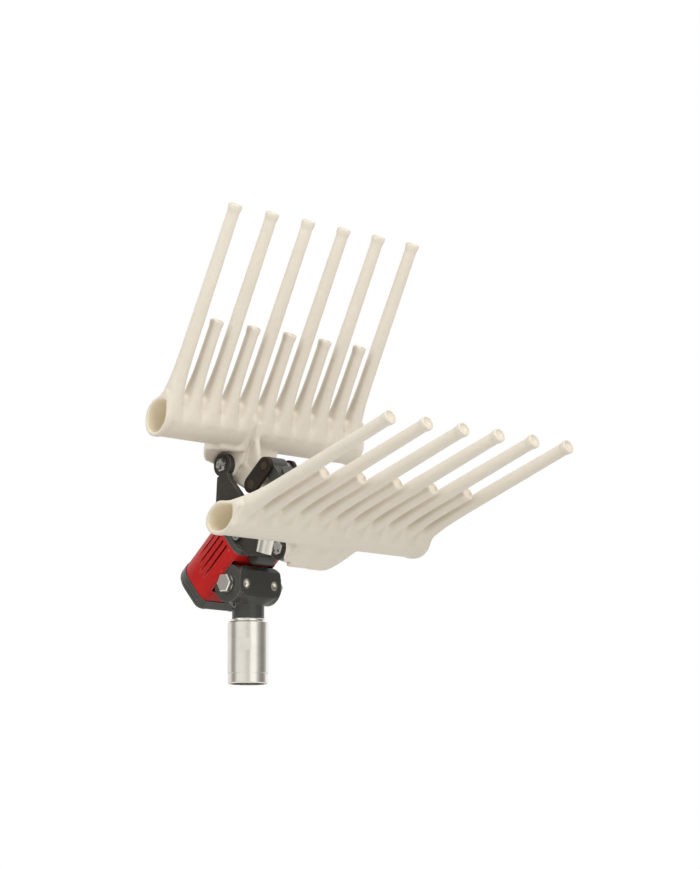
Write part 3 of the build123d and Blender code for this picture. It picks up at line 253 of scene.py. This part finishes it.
def lever_field(p, y):
    """Core and lever, with a rib on the near side that climbs on to the tube's front."""
    core = round_cone(p, PIVOT, CORE_RADIUS, TUBE, CORE_TOP)
    core = soft_max(core, np.abs(y) - CORE_HALF, CORE_BLEND)
    bar = round_cone(p, PIVOT, LEVER_ROOT, LEVER_PIN, LEVER_END)
    lever = soft_max(bar, np.abs(y) - LEVER_HALF, FACE_BLEND)
    rib = np.minimum(bar, round_cone(p, RIB, RIB_RADIUS, LEVER_PIN, LEVER_END))
    rib = np.minimum(rib, triangle(p, [PIVOT, LEVER_PIN, RIB]))
    crest = round_cone(p, from_tube(*CREST_TOP), CREST_TIP, from_tube(*CREST_FOOT), CREST_RADIUS)
    rib = soft_min(rib, crest, CREST_BLEND)
    rib = soft_max(rib, np.abs(y + RIB_MIDDLE) - RIB_HALF, RIB_BLEND)
    return soft_min(soft_min(core, rib, RIB_JOIN), lever, LEVER_JOIN)


def comb_field(w, y, l):
    """Distance field of one comb: tube, roots, pod and lever joined by fillets, less the hollows."""
    p = from_tube(w, l)
    from_end = TUBE_HALF - np.abs(y - TUBE_MIDDLE)
    tube = egg(w, l, 0.0, RIDGE_AT, RIDGE_RADIUS)
    bead = egg(w, l, -BEAD_RISE, RIDGE_AT, RIDGE_RADIUS)
    bead = soft_max(bead, from_end - BEAD_RUN, BEAD_BLEND)
    tube = soft_max(soft_min(tube, bead, BEAD_BLEND), -from_end, END_BLEND)
    roots = soft_max(root_field(w, y, l), -from_end, END_BLEND)
    body = soft_min(tube, roots, ROOT_BLEND) + scallop(w, y, l)
    body = soft_min(body, pod_field(p, y), POD_BLEND)
    niche = round_cone(p, PIVOT, CUP_RADIUS, PIVOT + NICHE_RUN * POD_ALONG, NICHE_RADIUS)
    niche = np.maximum(niche, y + CORE_HALF)
    cup = np.maximum(round_hole(p, PIVOT, CUP_RADIUS), CORE_HALF - y)
    body = soft_max(body, -np.minimum(niche, cup), CUP_BLEND)
    body = soft_min(body, lever_field(p, y), LEVER_BLEND)
    bores = np.minimum(round_hole(p, PIVOT, PIVOT_BORE), round_hole(p, LEVER_PIN, PIN_BORE))
    return np.maximum(soft_max(body, -hollow_field(w, l), MOUTH_BLEND), -bores)


def comb_net():
    """Quads on the comb's zero surface: one point per crossed cell, moved along the gradient onto it.

    Also two masks per point: a painted glow on the tube's inner walls, and a painted shade from how far the
    field lags behind a short step outwards."""
    axes = [np.arange(low, high, NET_STEP) for low, high in NET_SPANS]
    inside = comb_field(*np.meshgrid(*axes, indexing="ij")) < 0
    rows, columns, layers = (size - 1 for size in inside.shape)
    count = sum(inside[i:i + rows, j:j + columns, k:k + layers].astype(np.int8)
                for i, j, k in product((0, 1), repeat=3))
    crossed = (count > 0) & (count < 8)
    number = np.full(crossed.shape, -1)
    number[crossed] = np.arange(crossed.sum())
    cell = np.argwhere(crossed)
    middle = np.stack([axes[n][cell[:, n]] + NET_STEP / 2 for n in range(3)], axis=1)
    room = NET_ROOM * NET_STEP
    spot = middle.copy()
    for _ in range(NET_PASSES):
        value = comb_field(*spot.T)
        gradient = np.stack([comb_field(*(spot + nudge).T) - comb_field(*(spot - nudge).T)
                             for nudge in NET_NUDGE * np.eye(3)], axis=1) / (2 * NET_NUDGE)
        step = value / np.maximum((gradient * gradient).sum(1), NET_SLOPE)
        spot = np.clip(spot - step[:, None] * gradient, middle - room, middle + room)
    quads = []
    for n in range(3):
        low = np.moveaxis(inside, n, 0)[:-1, ...]
        high = np.moveaxis(inside, n, 0)[1:, ...]
        cells = np.moveaxis(number, n, 0)
        where = np.argwhere(low[:, 1:-1, 1:-1] != high[:, 1:-1, 1:-1]) + np.array([0, 1, 1])
        i, j, k = where.T
        ring = np.stack([cells[i, j - 1, k - 1], cells[i, j, k - 1],
                         cells[i, j, k], cells[i, j - 1, k]], axis=1)
        turn = low[i, j, k] if n != 1 else ~low[i, j, k]
        quads.append(np.where(turn[:, None], ring, ring[:, ::-1]))
    out = gradient / np.maximum(np.linalg.norm(gradient, axis=1, keepdims=True), TINY)
    # Painted shade: darker where the field lags behind a short step outwards, less so near the tube
    shade_lag = np.clip((VALLEY - comb_field(*(spot + VALLEY * out).T)) / VALLEY, 0, 1)
    shade_lag *= VALLEY_LEAST + (1 - VALLEY_LEAST) * smooth_step(spot[:, 2], *VALLEY_SPAN)
    # Painted glow: points on the tube's inner walls, lit tan as if daylight shone through
    glow_mask = np.clip(1 - np.abs(hollow_field(spot[:, 0], spot[:, 2])) / GLOW_REACH, 0, 1)
    return to_head(*spot.T), np.concatenate(quads), glow_mask, shade_lag


def ring_quads(rows, sides, closed=False):
    """Quads between the rings of a turned grid, each point with its neighbours; closed joins both ends."""
    i, j = np.meshgrid(np.arange(rows if closed else rows - 1), np.arange(sides), indexing="ij")
    m, k = (i + 1) % rows, (j + 1) % sides
    return np.stack([i * sides + j, i * sides + k, m * sides + k, m * sides + j], axis=-1).reshape(-1, 4)


def stem_gap(w, y, l):
    """Distance from a point to the nearest tooth that is at least as long as the point is high."""
    gaps = []
    for tooth_y, length, girth in TEETH:
        past_tip = smooth_step(l, length + TIP_FADE[0], length + TIP_FADE[1])
        gaps.append(np.hypot(w, y - tooth_y) - tooth_radius(l, girth) + LONG_TOOTH * past_tip)
    return np.min(gaps, axis=0)


def stem_profile(length, girth):
    """Radius and height along a tooth: base, stem, flare, quarter-round rim, and a dish to its middle."""
    heights = np.concatenate([np.arange(STEM_START, DENSE_END, DENSE_STEP),
                              np.linspace(DENSE_END + DENSE_STEP, length - TIP_FLARE - 1, SPARSE_ROWS)])
    stem = tooth_radius(heights, girth) + STEM_SKIN
    last = tooth_radius(length - TIP_FLARE, girth)
    flare = length - np.linspace(TIP_FLARE, TIP_BAND, FLARE_ROWS)
    flared = last + (TIP_RADIUS - last) * smooth_step(flare, length - TIP_FLARE, length - TIP_BAND)
    rim = np.linspace(0, np.pi / 2, RIM_ROWS)
    rim_radius = TIP_RADIUS - TIP_ROUND + TIP_ROUND * np.cos(rim)
    rim_height = length - TIP_ROUND + TIP_ROUND * np.sin(rim)
    dish = np.linspace(0, np.pi / 2, DISH_ROWS)
    dish_radius = DISH_RADIUS * np.cos(dish)
    dish_height = length - DISH_EDGE - DISH_DEPTH * np.sin(dish)
    radius = np.concatenate([[0.0, stem[0] - BASE_INSET], stem, flared, rim_radius, dish_radius])
    height = np.concatenate([[STEM_BASE, STEM_BASE], heights, flare, rim_height, dish_height])
    return radius, height


def tooth_stems(start):
    """The turned stems: each profile carried round its tooth's axis; faces count their points from start."""
    turns = np.linspace(0, 2 * np.pi, STEM_SIDES, endpoint=False)
    side = np.arange(STEM_SIDES)
    points, faces, glow_mask, valley_shade, smooth = [], [], [], [], []
    for tooth_y, length, girth in TEETH:
        radius, height = stem_profile(length, girth)
        r, a = np.meshgrid(radius[1:-1], turns, indexing="ij")
        h = np.broadcast_to(height[1:-1, None], r.shape)
        skin = np.stack([r * np.cos(a), tooth_y + r * np.sin(a), h], axis=-1).reshape(-1, 3)
        ends = np.array([[0.0, tooth_y, height[0]], [0.0, tooth_y, height[-1]]])
        points.append(np.concatenate([skin, ends]))
        rows = len(radius) - 2
        top = (rows - 1) * STEM_SIDES
        walls = ring_quads(rows, STEM_SIDES)
        base = np.stack([np.full(STEM_SIDES, len(skin)), np.roll(side, -1), side], axis=-1)
        floor = np.stack([np.full(STEM_SIDES, len(skin) + 1), top + side, top + np.roll(side, -1)], axis=-1)
        for patch, is_smooth in ((walls, True), (base, False), (floor, True)):
            faces += (patch + start).tolist()
            smooth.append(np.full(len(patch), is_smooth))
        start += len(skin) + len(ends)
        # Painted glow in the tip's dish
        dish_row = np.arange(rows) - (rows - DISH_ROWS + 1)
        dish = np.repeat(smooth_step(dish_row, 0.5, 1.5), STEM_SIDES)
        glow_mask.append(DISH_GLOW * np.concatenate([dish, [0.0, 1.0]]))
        # Painted shade on the stem where a neighbouring tooth stands close
        gap = stem_gap((r + VALLEY) * np.cos(a), tooth_y + (r + VALLEY) * np.sin(a), h)
        valley_shade.append(np.concatenate([np.clip((VALLEY - gap) / VALLEY, 0, 1).ravel(), [0.0, 0.0]]))
    masks = np.concatenate(glow_mask), np.concatenate(valley_shade)
    return to_head(*np.concatenate(points).T), faces, *masks, np.concatenate(smooth)


def new_piece(name, points, faces):
    """An object at the origin with a mesh of the given points and faces."""
    mesh = bpy.data.meshes.new(name)
    mesh.from_pydata(points, [], faces)
    piece = bpy.data.objects.new(name, mesh)
    scene.collection.objects.link(piece)
    return piece


def feed(tree, socket, value):
    """Set a socket to a value, or link another socket to it."""
    if isinstance(value, bpy.types.NodeSocket):
        tree.links.new(value, socket)
    else:
        socket.default_value = value


def add_node(tree, kind, **values):
    """A node with its properties set and its input sockets given by name as values or links."""
    node = tree.nodes.new(kind)
    for key, value in values.items():
        if hasattr(node, key):
            setattr(node, key, value)
        else:
            feed(tree, node.inputs[key.replace("_", " ")], value)
    return node


def math(tree, operation, a, b):
    """One Math node on two values or sockets."""
    node = add_node(tree, "ShaderNodeMath", operation=operation)
    for socket, value in zip(node.inputs, (a, b)):
        feed(tree, socket, value)
    return node.outputs[0]


def dot(tree, a, b):
    """The dot product of two vectors or sockets."""
    node = add_node(tree, "ShaderNodeVectorMath", operation="DOT_PRODUCT")
    for socket, value in zip(node.inputs, (a, b)):
        feed(tree, socket, value)
    return node.outputs["Value"]


MIX_FACTOR, MIX_A, MIX_B, MIX_COLOUR = 0, 6, 7, 2


def mix_colour(tree, factor, a, b):
    """A colour Mix node; colours are sockets or RGBA tuples."""
    node = add_node(tree, "ShaderNodeMix", data_type="RGBA")
    for index, value in ((MIX_FACTOR, factor), (MIX_A, a), (MIX_B, b)):
        feed(tree, node.inputs[index], value)
    return node.outputs[MIX_COLOUR]


def noise(tree, size, detail, roughness=0.5):
    """The value of a noise on the object's own coordinates, size waves to the metre."""
    place = add_node(tree, "ShaderNodeTexCoord").outputs["Object"]
    node = add_node(tree, "ShaderNodeTexNoise", Vector=place, Scale=size, Detail=detail, Roughness=roughness)
    return node.outputs["Fac"]


NOISE_LOW, NOISE_HIGH = 0.25, 0.75


def span(tree, value, low, high):
    """A noise's usual range carried to the range low to high."""
    node = add_node(tree, "ShaderNodeMapRange", Value=value, From_Min=NOISE_LOW, From_Max=NOISE_HIGH,
                    To_Min=low, To_Max=high)
    return node.outputs[0]


def linear(colour):
    """An sRGB colour in 0 to 255 as linear RGBA."""
    c = np.array(colour) / 255
    c = np.where(c <= 0.04045, c / 12.92, ((c + 0.055) / 1.055) ** 2.4)
    return (*(float(n) for n in c), 1.0)


def new_group(name, inputs, outputs):
    """An empty shader group with float sockets, the inputs with their values, and its end nodes."""
    group = bpy.data.node_groups.new(name, "ShaderNodeTree")
    for label, value in inputs.items():
        socket = group.interface.new_socket(label, in_out="INPUT", socket_type="NodeSocketFloat")
        socket.default_value = value
    for label in outputs:
        group.interface.new_socket(label, in_out="OUTPUT", socket_type="NodeSocketFloat")
    return group, group.nodes.new("NodeGroupInput").outputs, group.nodes.new("NodeGroupOutput").inputs


FINE_RATIO = 14.0
CHIP_SIZE, PATCH_SIZE, PATCH_SHARE = 300.0, 60.0, 0.5
CHIP_LEVEL, CHIP_REACH, CHIP_CONTRAST = 1.02, 0.4, 18.0
# Edge mask, partly rubbed paint and partly a painted edge highlight
EDGE_ROUND_WIDTH, EDGE_ROUND_SAMPLES, EDGE_TURN_LEVEL, EDGE_BREAK_SIZE, EDGE_CONTRAST = 0.0009, 4, 0.97, 180.0, 14.0


def make_drift():
    """Group: two sizes of cloudy noise that vary a tone; gives a value around 0.5 and a fine value."""
    tree, given, result = new_group("tone drift", {"Size": 20.0}, ("Broad", "Fine"))
    fine_size = math(tree, "MULTIPLY", given["Size"], FINE_RATIO)
    feed(tree, result["Broad"], noise(tree, given["Size"], 3.0, 0.55))
    feed(tree, result["Fine"], noise(tree, fine_size, 4.0, 0.6))
    return tree


def make_chips():
    """Group: specks where paint has chipped, from a fine noise over a threshold inside broad patches."""
    tree, given, result = new_group("paint chips", {"Amount": 0.3, "Size": CHIP_SIZE}, ("Mask",))
    speck = noise(tree, given["Size"], 5.0, 0.65)
    patch = math(tree, "MULTIPLY", noise(tree, PATCH_SIZE, 2.0), PATCH_SHARE)
    level = math(tree, "SUBTRACT", CHIP_LEVEL, math(tree, "MULTIPLY", given["Amount"], CHIP_REACH))
    over = math(tree, "SUBTRACT", math(tree, "ADD", speck, patch), level)
    mask = add_node(tree, "ShaderNodeClamp", Value=math(tree, "MULTIPLY", over, CHIP_CONTRAST))
    feed(tree, result["Mask"], mask.outputs[0])
    return tree


def make_edge_wear_and_glint():
    """Group: edges where the rounded normal turns away from the true one, broken up by noise; partly worn
    paint, partly a painted edge highlight.
    """
    tree, given, result = new_group("edge wear and glint", {"Amount": 0.5}, ("Mask",))
    flat = add_node(tree, "ShaderNodeNewGeometry").outputs["True Normal"]
    rounded = add_node(tree, "ShaderNodeBevel", samples=EDGE_ROUND_SAMPLES, Radius=EDGE_ROUND_WIDTH).outputs[0]
    edge = math(tree, "SUBTRACT", EDGE_TURN_LEVEL, dot(tree, flat, rounded))
    broken = math(tree, "MULTIPLY", noise(tree, EDGE_BREAK_SIZE, 4.0, 0.6), EDGE_CONTRAST)
    worn_and_glint = math(tree, "MULTIPLY", math(tree, "MULTIPLY", edge, broken), given["Amount"])
    mask = add_node(tree, "ShaderNodeClamp", Value=worn_and_glint)
    feed(tree, result["Mask"], mask.outputs[0])
    return tree


DRIFT, CHIPS, WEAR_AND_GLINT = make_drift(), make_chips(), make_edge_wear_and_glint()


def use_group(tree, group, **values):
    """The outputs of one placed copy of a group with its own input values."""
    node = add_node(tree, "ShaderNodeGroup", node_tree=group)
    for key, value in values.items():
        node.inputs[key].default_value = value
    return node.outputs


def new_material(name, **shader):
    """A material with its shader's constant sockets set by name, its tree and the shader's inputs."""
    material = bpy.data.materials.new(name)
    material.use_nodes = True
    tree = material.node_tree
    principled = tree.nodes["Principled BSDF"].inputs
    for key, value in shader.items():
        principled[key.replace("_", " ")].default_value = value
    return material, tree, principled


def bump(tree, shader, height, distance, strength):
    """A Bump node from a height in the given distance, into the shader's Normal."""
    node = add_node(tree, "ShaderNodeBump", Strength=strength, Distance=distance, Height=height)
    feed(tree, shader["Normal"], node.outputs[0])


# Ivory: its three tones, painted shade between the teeth, and a painted tan glow on hollow walls standing
# for daylight through them
IVORY, IVORY_PALE, IVORY_DULL, DULL_SHARE = (226, 217, 202), (232, 224, 210), (214, 203, 184), 0.25
SHADE_TONE, SHADE_SHARE = (150, 137, 111), 0.7
GLOW_TONE, NO_GLOW, HOLLOW_GLOW = (226, 216, 194), (0.0, 0.0, 0.0, 1.0), (0.082, 0.074, 0.057, 1.0)
IVORY_DRIFT, IVORY_ROUGHNESS = 14.0, (0.40, 0.52)
IVORY_GRAIN, IVORY_GRAIN_DEPTH, IVORY_GRAIN_STRENGTH = 900.0, 0.0002, 0.04


def ivory_plastic():
    """Satin moulded plastic: warm ivory, painted shade in its valleys, hollow walls painted with a tan glow
    for daylight through them.
    """
    material, tree, shader = new_material("ivory plastic", IOR=1.49, Emission_Strength=1.0)
    drift = use_group(tree, DRIFT, Size=IVORY_DRIFT)
    glow_mask, valley_shade = (add_node(tree, "ShaderNodeAttribute", attribute_name=mask).outputs["Fac"]
                      for mask in ("glow_mask", "valley_shade"))
    tone = mix_colour(tree, span(tree, drift["Broad"], 0.0, 1.0), linear(IVORY), linear(IVORY_PALE))
    tone = mix_colour(tree, span(tree, drift["Fine"], 0.0, DULL_SHARE), tone, linear(IVORY_DULL))
    # Painted shade in the valleys between the teeth
    tone = mix_colour(tree, math(tree, "MULTIPLY", valley_shade, SHADE_SHARE), tone, linear(SHADE_TONE))
    # Painted glow on hollow walls: a tan tone and an emission
    feed(tree, shader["Base Color"], mix_colour(tree, glow_mask, tone, linear(GLOW_TONE)))
    feed(tree, shader["Emission Color"], mix_colour(tree, glow_mask, NO_GLOW, HOLLOW_GLOW))
    feed(tree, shader["Roughness"], span(tree, drift["Fine"], *IVORY_ROUGHNESS))
    bump(tree, shader, noise(tree, IVORY_GRAIN, 3.0), IVORY_GRAIN_DEPTH, IVORY_GRAIN_STRENGTH)
    return material


PAINT_DRIFT, PAINT_LESS, PAINT_MORE = 45.0, 0.02, 0.03
PEEL_SIZE, PEEL_DEPTH, CHIP_DEPTH, WORN_AND_GLINT_METALLIC = 520.0, 0.0004, 0.6, 0.85


def painted(name, colour, dark, bare_and_glint, chips, edge_wear_and_glint, roughness, peel, gloss):
    """Paint on a casting: drifting tone, orange-peel bump, chips down to bare metal, and edges rubbed bare,
    partly wear and partly a painted edge highlight.
    """
    material, tree, shader = new_material(name, IOR=1.5, Specular_IOR_Level=gloss)
    drift = use_group(tree, DRIFT, Size=PAINT_DRIFT)
    tone = mix_colour(tree, span(tree, drift["Broad"], 0.0, 1.0), linear(dark), linear(colour))
    chipped = use_group(tree, CHIPS, Amount=chips)["Mask"]
    # Chips are wear; the rubbed edges are partly wear and partly a painted edge highlight
    worn_and_glint = math(tree, "MAXIMUM", chipped, use_group(tree, WEAR_AND_GLINT, Amount=edge_wear_and_glint)["Mask"])
    feed(tree, shader["Base Color"], mix_colour(tree, worn_and_glint, tone, linear(bare_and_glint)))
    feed(tree, shader["Metallic"], math(tree, "MULTIPLY", worn_and_glint, WORN_AND_GLINT_METALLIC))
    smudged = span(tree, drift["Fine"], roughness - PAINT_LESS, roughness + PAINT_MORE)
    feed(tree, shader["Roughness"], smudged)
    height = math(tree, "SUBTRACT", noise(tree, PEEL_SIZE, 2.0), math(tree, "MULTIPLY", worn_and_glint, CHIP_DEPTH))
    bump(tree, shader, height, PEEL_DEPTH, peel)
    return material


PLATE_DRIFT, PLATE_LESS, PLATE_MORE = 60.0, 0.05, 0.09
TURNED_LINES, GROUND_LINES = (12.0, 12.0, 2600.0), (900.0, 900.0, 900.0)
LINE_DEPTH, LINE_STRENGTH = 0.0001, 0.1


def plated(name, colour, dark, roughness, lines):
    """Plated or ground metal: fine lines, round the pole's axis where it is turned, and smudged gloss."""
    material, tree, shader = new_material(name, Metallic=1.0)
    drift = use_group(tree, DRIFT, Size=PLATE_DRIFT)
    place = add_node(tree, "ShaderNodeTexCoord").outputs["Object"]
    stretch = add_node(tree, "ShaderNodeMapping", Vector=place, Scale=lines)
    marks = add_node(tree, "ShaderNodeTexNoise", Vector=stretch.outputs[0], Scale=1.0, Detail=3.0)
    tone = mix_colour(tree, span(tree, drift["Broad"], 0.0, 1.0), linear(dark), linear(colour))
    feed(tree, shader["Base Color"], tone)
    smudged = span(tree, drift["Fine"], roughness - PLATE_LESS, roughness + PLATE_MORE)
    feed(tree, shader["Roughness"], smudged)
    bump(tree, shader, marks.outputs["Fac"], LINE_DEPTH, LINE_STRENGTH)
    return material


DULL_DRIFT, DULL_VARIES, DULL_DEPTH, DULL_STRENGTH = 70.0, 0.08, 0.0003, 0.2


def plain(name, colour, dark, roughness):
    """Rubber and gasket: a drifting tone with a fine dull grain."""
    material, tree, shader = new_material(name)
    drift = use_group(tree, DRIFT, Size=DULL_DRIFT)
    tone = mix_colour(tree, span(tree, drift["Fine"], 0.0, 1.0), linear(dark), linear(colour))
    feed(tree, shader["Base Color"], tone)
    smudged = span(tree, drift["Broad"], roughness - DULL_VARIES, roughness + DULL_VARIES)
    feed(tree, shader["Roughness"], smudged)
    bump(tree, shader, drift["Fine"], DULL_DEPTH, DULL_STRENGTH)
    return material


# Paints by slot: colour, darker colour, bare metal, chips, rubbed edges that are partly a painted edge
# highlight, roughness, orange peel and gloss
BARE_AND_GLINT_TONE, GLOSS = (190, 188, 182), 0.38
PAINTS = {
    "red_paint": ("red paint", (188, 25, 23), (176, 21, 19), BARE_AND_GLINT_TONE, 0.04, 0.12, 0.36, 0.06, 0.22),
    "grey_paint": ("grey paint", (72, 72, 67), (65, 65, 61), BARE_AND_GLINT_TONE, 0.04, 0.25, 0.24, 0.04, GLOSS),
    "plate_paint": ("plate paint", (64, 61, 55), (56, 53, 48), BARE_AND_GLINT_TONE, 0.04, 0.3, 0.26, 0.04, 0.2),
    "crosshead_paint": ("blue-grey paint", (78, 80, 76), (66, 68, 65), BARE_AND_GLINT_TONE, 0.1, 0.3, 0.32, 0.06, GLOSS),
    "brown_plate": ("brown plate", (44, 31, 20), (34, 23, 15), (104, 84, 64), 0.15, 0.2, 0.42, 0.15, GLOSS),
    # Pivot bolt heads: dense chips, partly wear and partly painted glints
    "worn_bolt": ("worn glinting bolt", (60, 58, 52), (40, 38, 34), BARE_AND_GLINT_TONE, 0.95, 0.6, 0.3, 0.25, GLOSS),
}

# Metals by slot: colour, darker colour, roughness and lines
METALS = {
    "nickel": ("bright nickel", (250, 246, 235), (240, 234, 222), 0.14, TURNED_LINES),
    "steel": ("zinc plated steel", (178, 176, 170), (146, 143, 136), 0.34, GROUND_LINES),
    "bronze": ("sintered bronze", (188, 150, 92), (158, 122, 70), 0.42, GROUND_LINES),
    "piston_metal": ("machined aluminium", (190, 190, 192), (168, 168, 170), 0.3, GROUND_LINES),
    "dark_steel": ("oiled steel", (112, 98, 84), (84, 72, 60), 0.3, GROUND_LINES),
}

# Dull stuffs by slot: colour, darker colour and roughness
DULL = {
    "rubber": ("seal rubber", (30, 30, 30), (18, 18, 18), 0.65),
    "gasket": ("gasket sheet", (96, 94, 84), (80, 78, 70), 0.8),
}
finishes = {"ivory_plastic": ivory_plastic()}
for make, stock in ((painted, PAINTS), (plated, METALS), (plain, DULL)):
    finishes |= {slot: make(*row) for slot, row in stock.items()}

# Pieces whose finish differs from that of their slot
own_finish = {"upper_pivot_bolt": "worn_bolt", "lower_pivot_bolt": "worn_bolt", "tilt_bolt": "nickel",
              "near_yoke": "plate_paint", "far_yoke": "plate_paint", "web_screws": "nickel"}
own_finish |= {side + pin: "dark_steel"
               for side, pin in product(("upper_", "lower_"), ("lever_pin", "cross_pin"))}
node_slot = {part["node"]: part["material_slot"] for part in frame["record"]["subparts"]}


def dress(piece, node):
    """Give a piece its own finish, or else that of its node's material slot."""
    piece.data.materials.clear()
    piece.data.materials.append(finishes[own_finish.get(node, node_slot[node])])


for node, obj in frame["nodes"].items():
    dress(obj, node)

# Combs: one moulding, used a second time turned half round the head's axis
net_points, net_faces, net_glow_mask, net_valley_shade = comb_net()
stem_points, stem_faces, stem_glow_mask, stem_valley_shade, stem_smooth = tooth_stems(len(net_points))
comb_points = np.concatenate([net_points, stem_points])
comb_faces = net_faces.tolist() + stem_faces
comb_smooth = np.concatenate([np.ones(len(net_faces), bool), stem_smooth])
# Painted glow on hollow walls and painted shade in valleys, carried as point masks
comb_masks = {"glow_mask": np.concatenate([net_glow_mask, stem_glow_mask]),
              "valley_shade": np.concatenate([net_valley_shade, stem_valley_shade])}


def comb_piece(side, turn):
    """One comb from the moulding's points, turned by the signs of X and Y, its painted glow and painted
    shade masks as attributes.
    """
    spots = to_object(comb_points * np.array([turn, turn, 1.0]))
    comb = new_piece(side + "_comb_moulding", spots, comb_faces)
    comb.data.polygons.foreach_set("use_smooth", comb_smooth)
    for label, mask in comb_masks.items():
        values = comb.data.attributes.new(label, "FLOAT", "POINT").data
        values.foreach_set("value", mask.astype(np.float32))
    comb.data.update()
    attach(comb, side + "_comb")
    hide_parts(side + "_rake")
    dress(comb, side + "_rake")


comb_piece("upper", 1.0)
comb_piece("lower", -1.0)

# Collar's profile in radius and height, millimetres; floor's rings and height, metres
COLLAR = np.array([[14.35, 55.0], [15.25, 55.0], [15.25, 57.2], [15.0, 57.7], [14.35, 57.9]])
FLOOR_RINGS, FLOOR_HEIGHT, FLOOR_TONE = np.array([0.001, 1.0, 2.5, 5.0]), -0.3, (0.86, 0.86, 0.85, 1)
RING_SIDES = 96


def turned(radius, height):
    """A profile carried round the pole's axis: radius times cosine, radius times sine, and height."""
    turns = np.linspace(0, 2 * np.pi, RING_SIDES, endpoint=False)
    x, y = radius[:, None] * np.cos(turns), radius[:, None] * np.sin(turns)
    return np.stack(np.broadcast_arrays(x, y, height[:, None]), axis=-1).reshape(-1, 3)


def neck_collar():
    """The bright collar on the sleeve's top: a closed profile turned round the pole's axis."""
    faces = ring_quads(len(COLLAR), RING_SIDES, closed=True)
    collar = new_piece("neck_collar", turned(*COLLAR.T / MILLIMETRES), faces.tolist())
    collar.data.materials.append(finishes["nickel"])
    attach(collar, "pole_side")


def pale_floor():
    """A wide pale disc under the held tool: flat rings round the pole's axis, facing up."""
    points = turned(FLOOR_RINGS, np.full(len(FLOOR_RINGS), FLOOR_HEIGHT))
    faces = ring_quads(len(FLOOR_RINGS), RING_SIDES)[:, ::-1]
    floor = new_piece("pale_floor", points, faces.tolist())
    material, _, shader = new_material("pale floor", Roughness=0.9)
    shader["Base Color"].default_value = FLOOR_TONE
    floor.data.materials.append(material)


# Directions of the picture, and where the studio's panels stand across it, each with its brightness
CENTRE = Vector((0.11, 0.0, 0.2))
AZIMUTH, ELEVATION = radians(43.761), radians(-8.750)
BACK = Vector((sin(AZIMUTH) * cos(ELEVATION), -cos(AZIMUTH) * cos(ELEVATION), sin(ELEVATION)))
RIGHT = Vector((cos(AZIMUTH), sin(AZIMUTH), 0))
UP = BACK.cross(RIGHT)
PANELS = [(0.0, 0.29), (0.05, 0.78), (0.19, 0.82), (0.37, 0.76), (0.47, 0.64),
          (0.58, 0.64), (0.68, 1.0), (0.86, 1.0), (0.93, 0.55), (1.0, 0.22)]
WHITE, DOME_TONE, DOME = (1, 1, 1, 1), (1.0, 0.99, 0.97, 1), 0.58

# Lamps: metres to the right, up and back towards the camera from the object's middle, and power
LAMPS = {"key": (0.9, 1.2, 1.2, 18.0), "fill": (-1.3, 1.2, 0.5, 11.0)}
LAMP_SIZE = 1.0
FOCAL_PIXELS, PHOTO_HEIGHT, SENSOR = 3188.667, 869, 36
CAMERA_PLACE = (2.0255, -1.9838, -0.2119)


def studio_world():
    """A white studio for camera, glossy and clear rays, with soft grey gaps in its panels in reflections.

    The gaps follow the direction across the picture; dull surfaces are lit by a plain dome."""
    world = bpy.data.worlds.new("studio")
    scene.world = world
    world.use_nodes = True
    tree = world.node_tree
    tree.nodes.clear()
    rays = add_node(tree, "ShaderNodeLightPath").outputs
    across = dot(tree, add_node(tree, "ShaderNodeTexCoord").outputs["Generated"], RIGHT)
    share = math(tree, "ADD", math(tree, "MULTIPLY", across, 0.5), 0.5)
    ramp = add_node(tree, "ShaderNodeValToRGB", Fac=share)
    stops = ramp.color_ramp.elements
    while len(stops) < len(PANELS):
        stops.new(0.5)
    for stop, (at, level) in zip(stops, PANELS):
        stop.position = at
        stop.color = (level, level, level, 1)
    panels = mix_colour(tree, rays["Is Glossy Ray"], WHITE, ramp.outputs[0])
    studio = add_node(tree, "ShaderNodeBackground", Color=panels, Strength=1.0)
    dome = add_node(tree, "ShaderNodeBackground", Color=DOME_TONE, Strength=DOME)
    shown = math(tree, "MAXIMUM", rays["Is Camera Ray"], rays["Is Glossy Ray"])
    shown = math(tree, "MAXIMUM", shown, rays["Is Transmission Ray"])
    pick = add_node(tree, "ShaderNodeMixShader")
    for socket, source in zip(pick.inputs, (shown, dome.outputs[0], studio.outputs[0])):
        feed(tree, socket, source)
    add_node(tree, "ShaderNodeOutputWorld", Surface=pick.outputs[0])


def soft_box(name, right, up, back, power):
    """A square area lamp that faces the object's middle."""
    lamp = bpy.data.lights.new(name, "AREA")
    lamp.size = LAMP_SIZE
    lamp.energy = power
    box = bpy.data.objects.new(name, lamp)
    scene.collection.objects.link(box)
    box.location = CENTRE + right * RIGHT + up * UP + back * BACK
    box.rotation_euler = (CENTRE - box.location).to_track_quat("-Z", "Y").to_euler()


def photo_camera():
    """The camera at the photograph's viewing angle."""
    lens = bpy.data.cameras.new("photo camera")
    lens.lens = FOCAL_PIXELS * SENSOR / PHOTO_HEIGHT
    camera = bpy.data.objects.new("photo camera", lens)
    scene.collection.objects.link(camera)
    camera.location = CAMERA_PLACE
    camera.rotation_euler = (radians(90) - ELEVATION, 0, AZIMUTH)
    scene.camera = camera


neck_collar()
pale_floor()
studio_world()
for lamp_name, lamp_row in LAMPS.items():
    soft_box(lamp_name, *lamp_row)
photo_camera()
scene.view_settings.view_transform = "Standard"
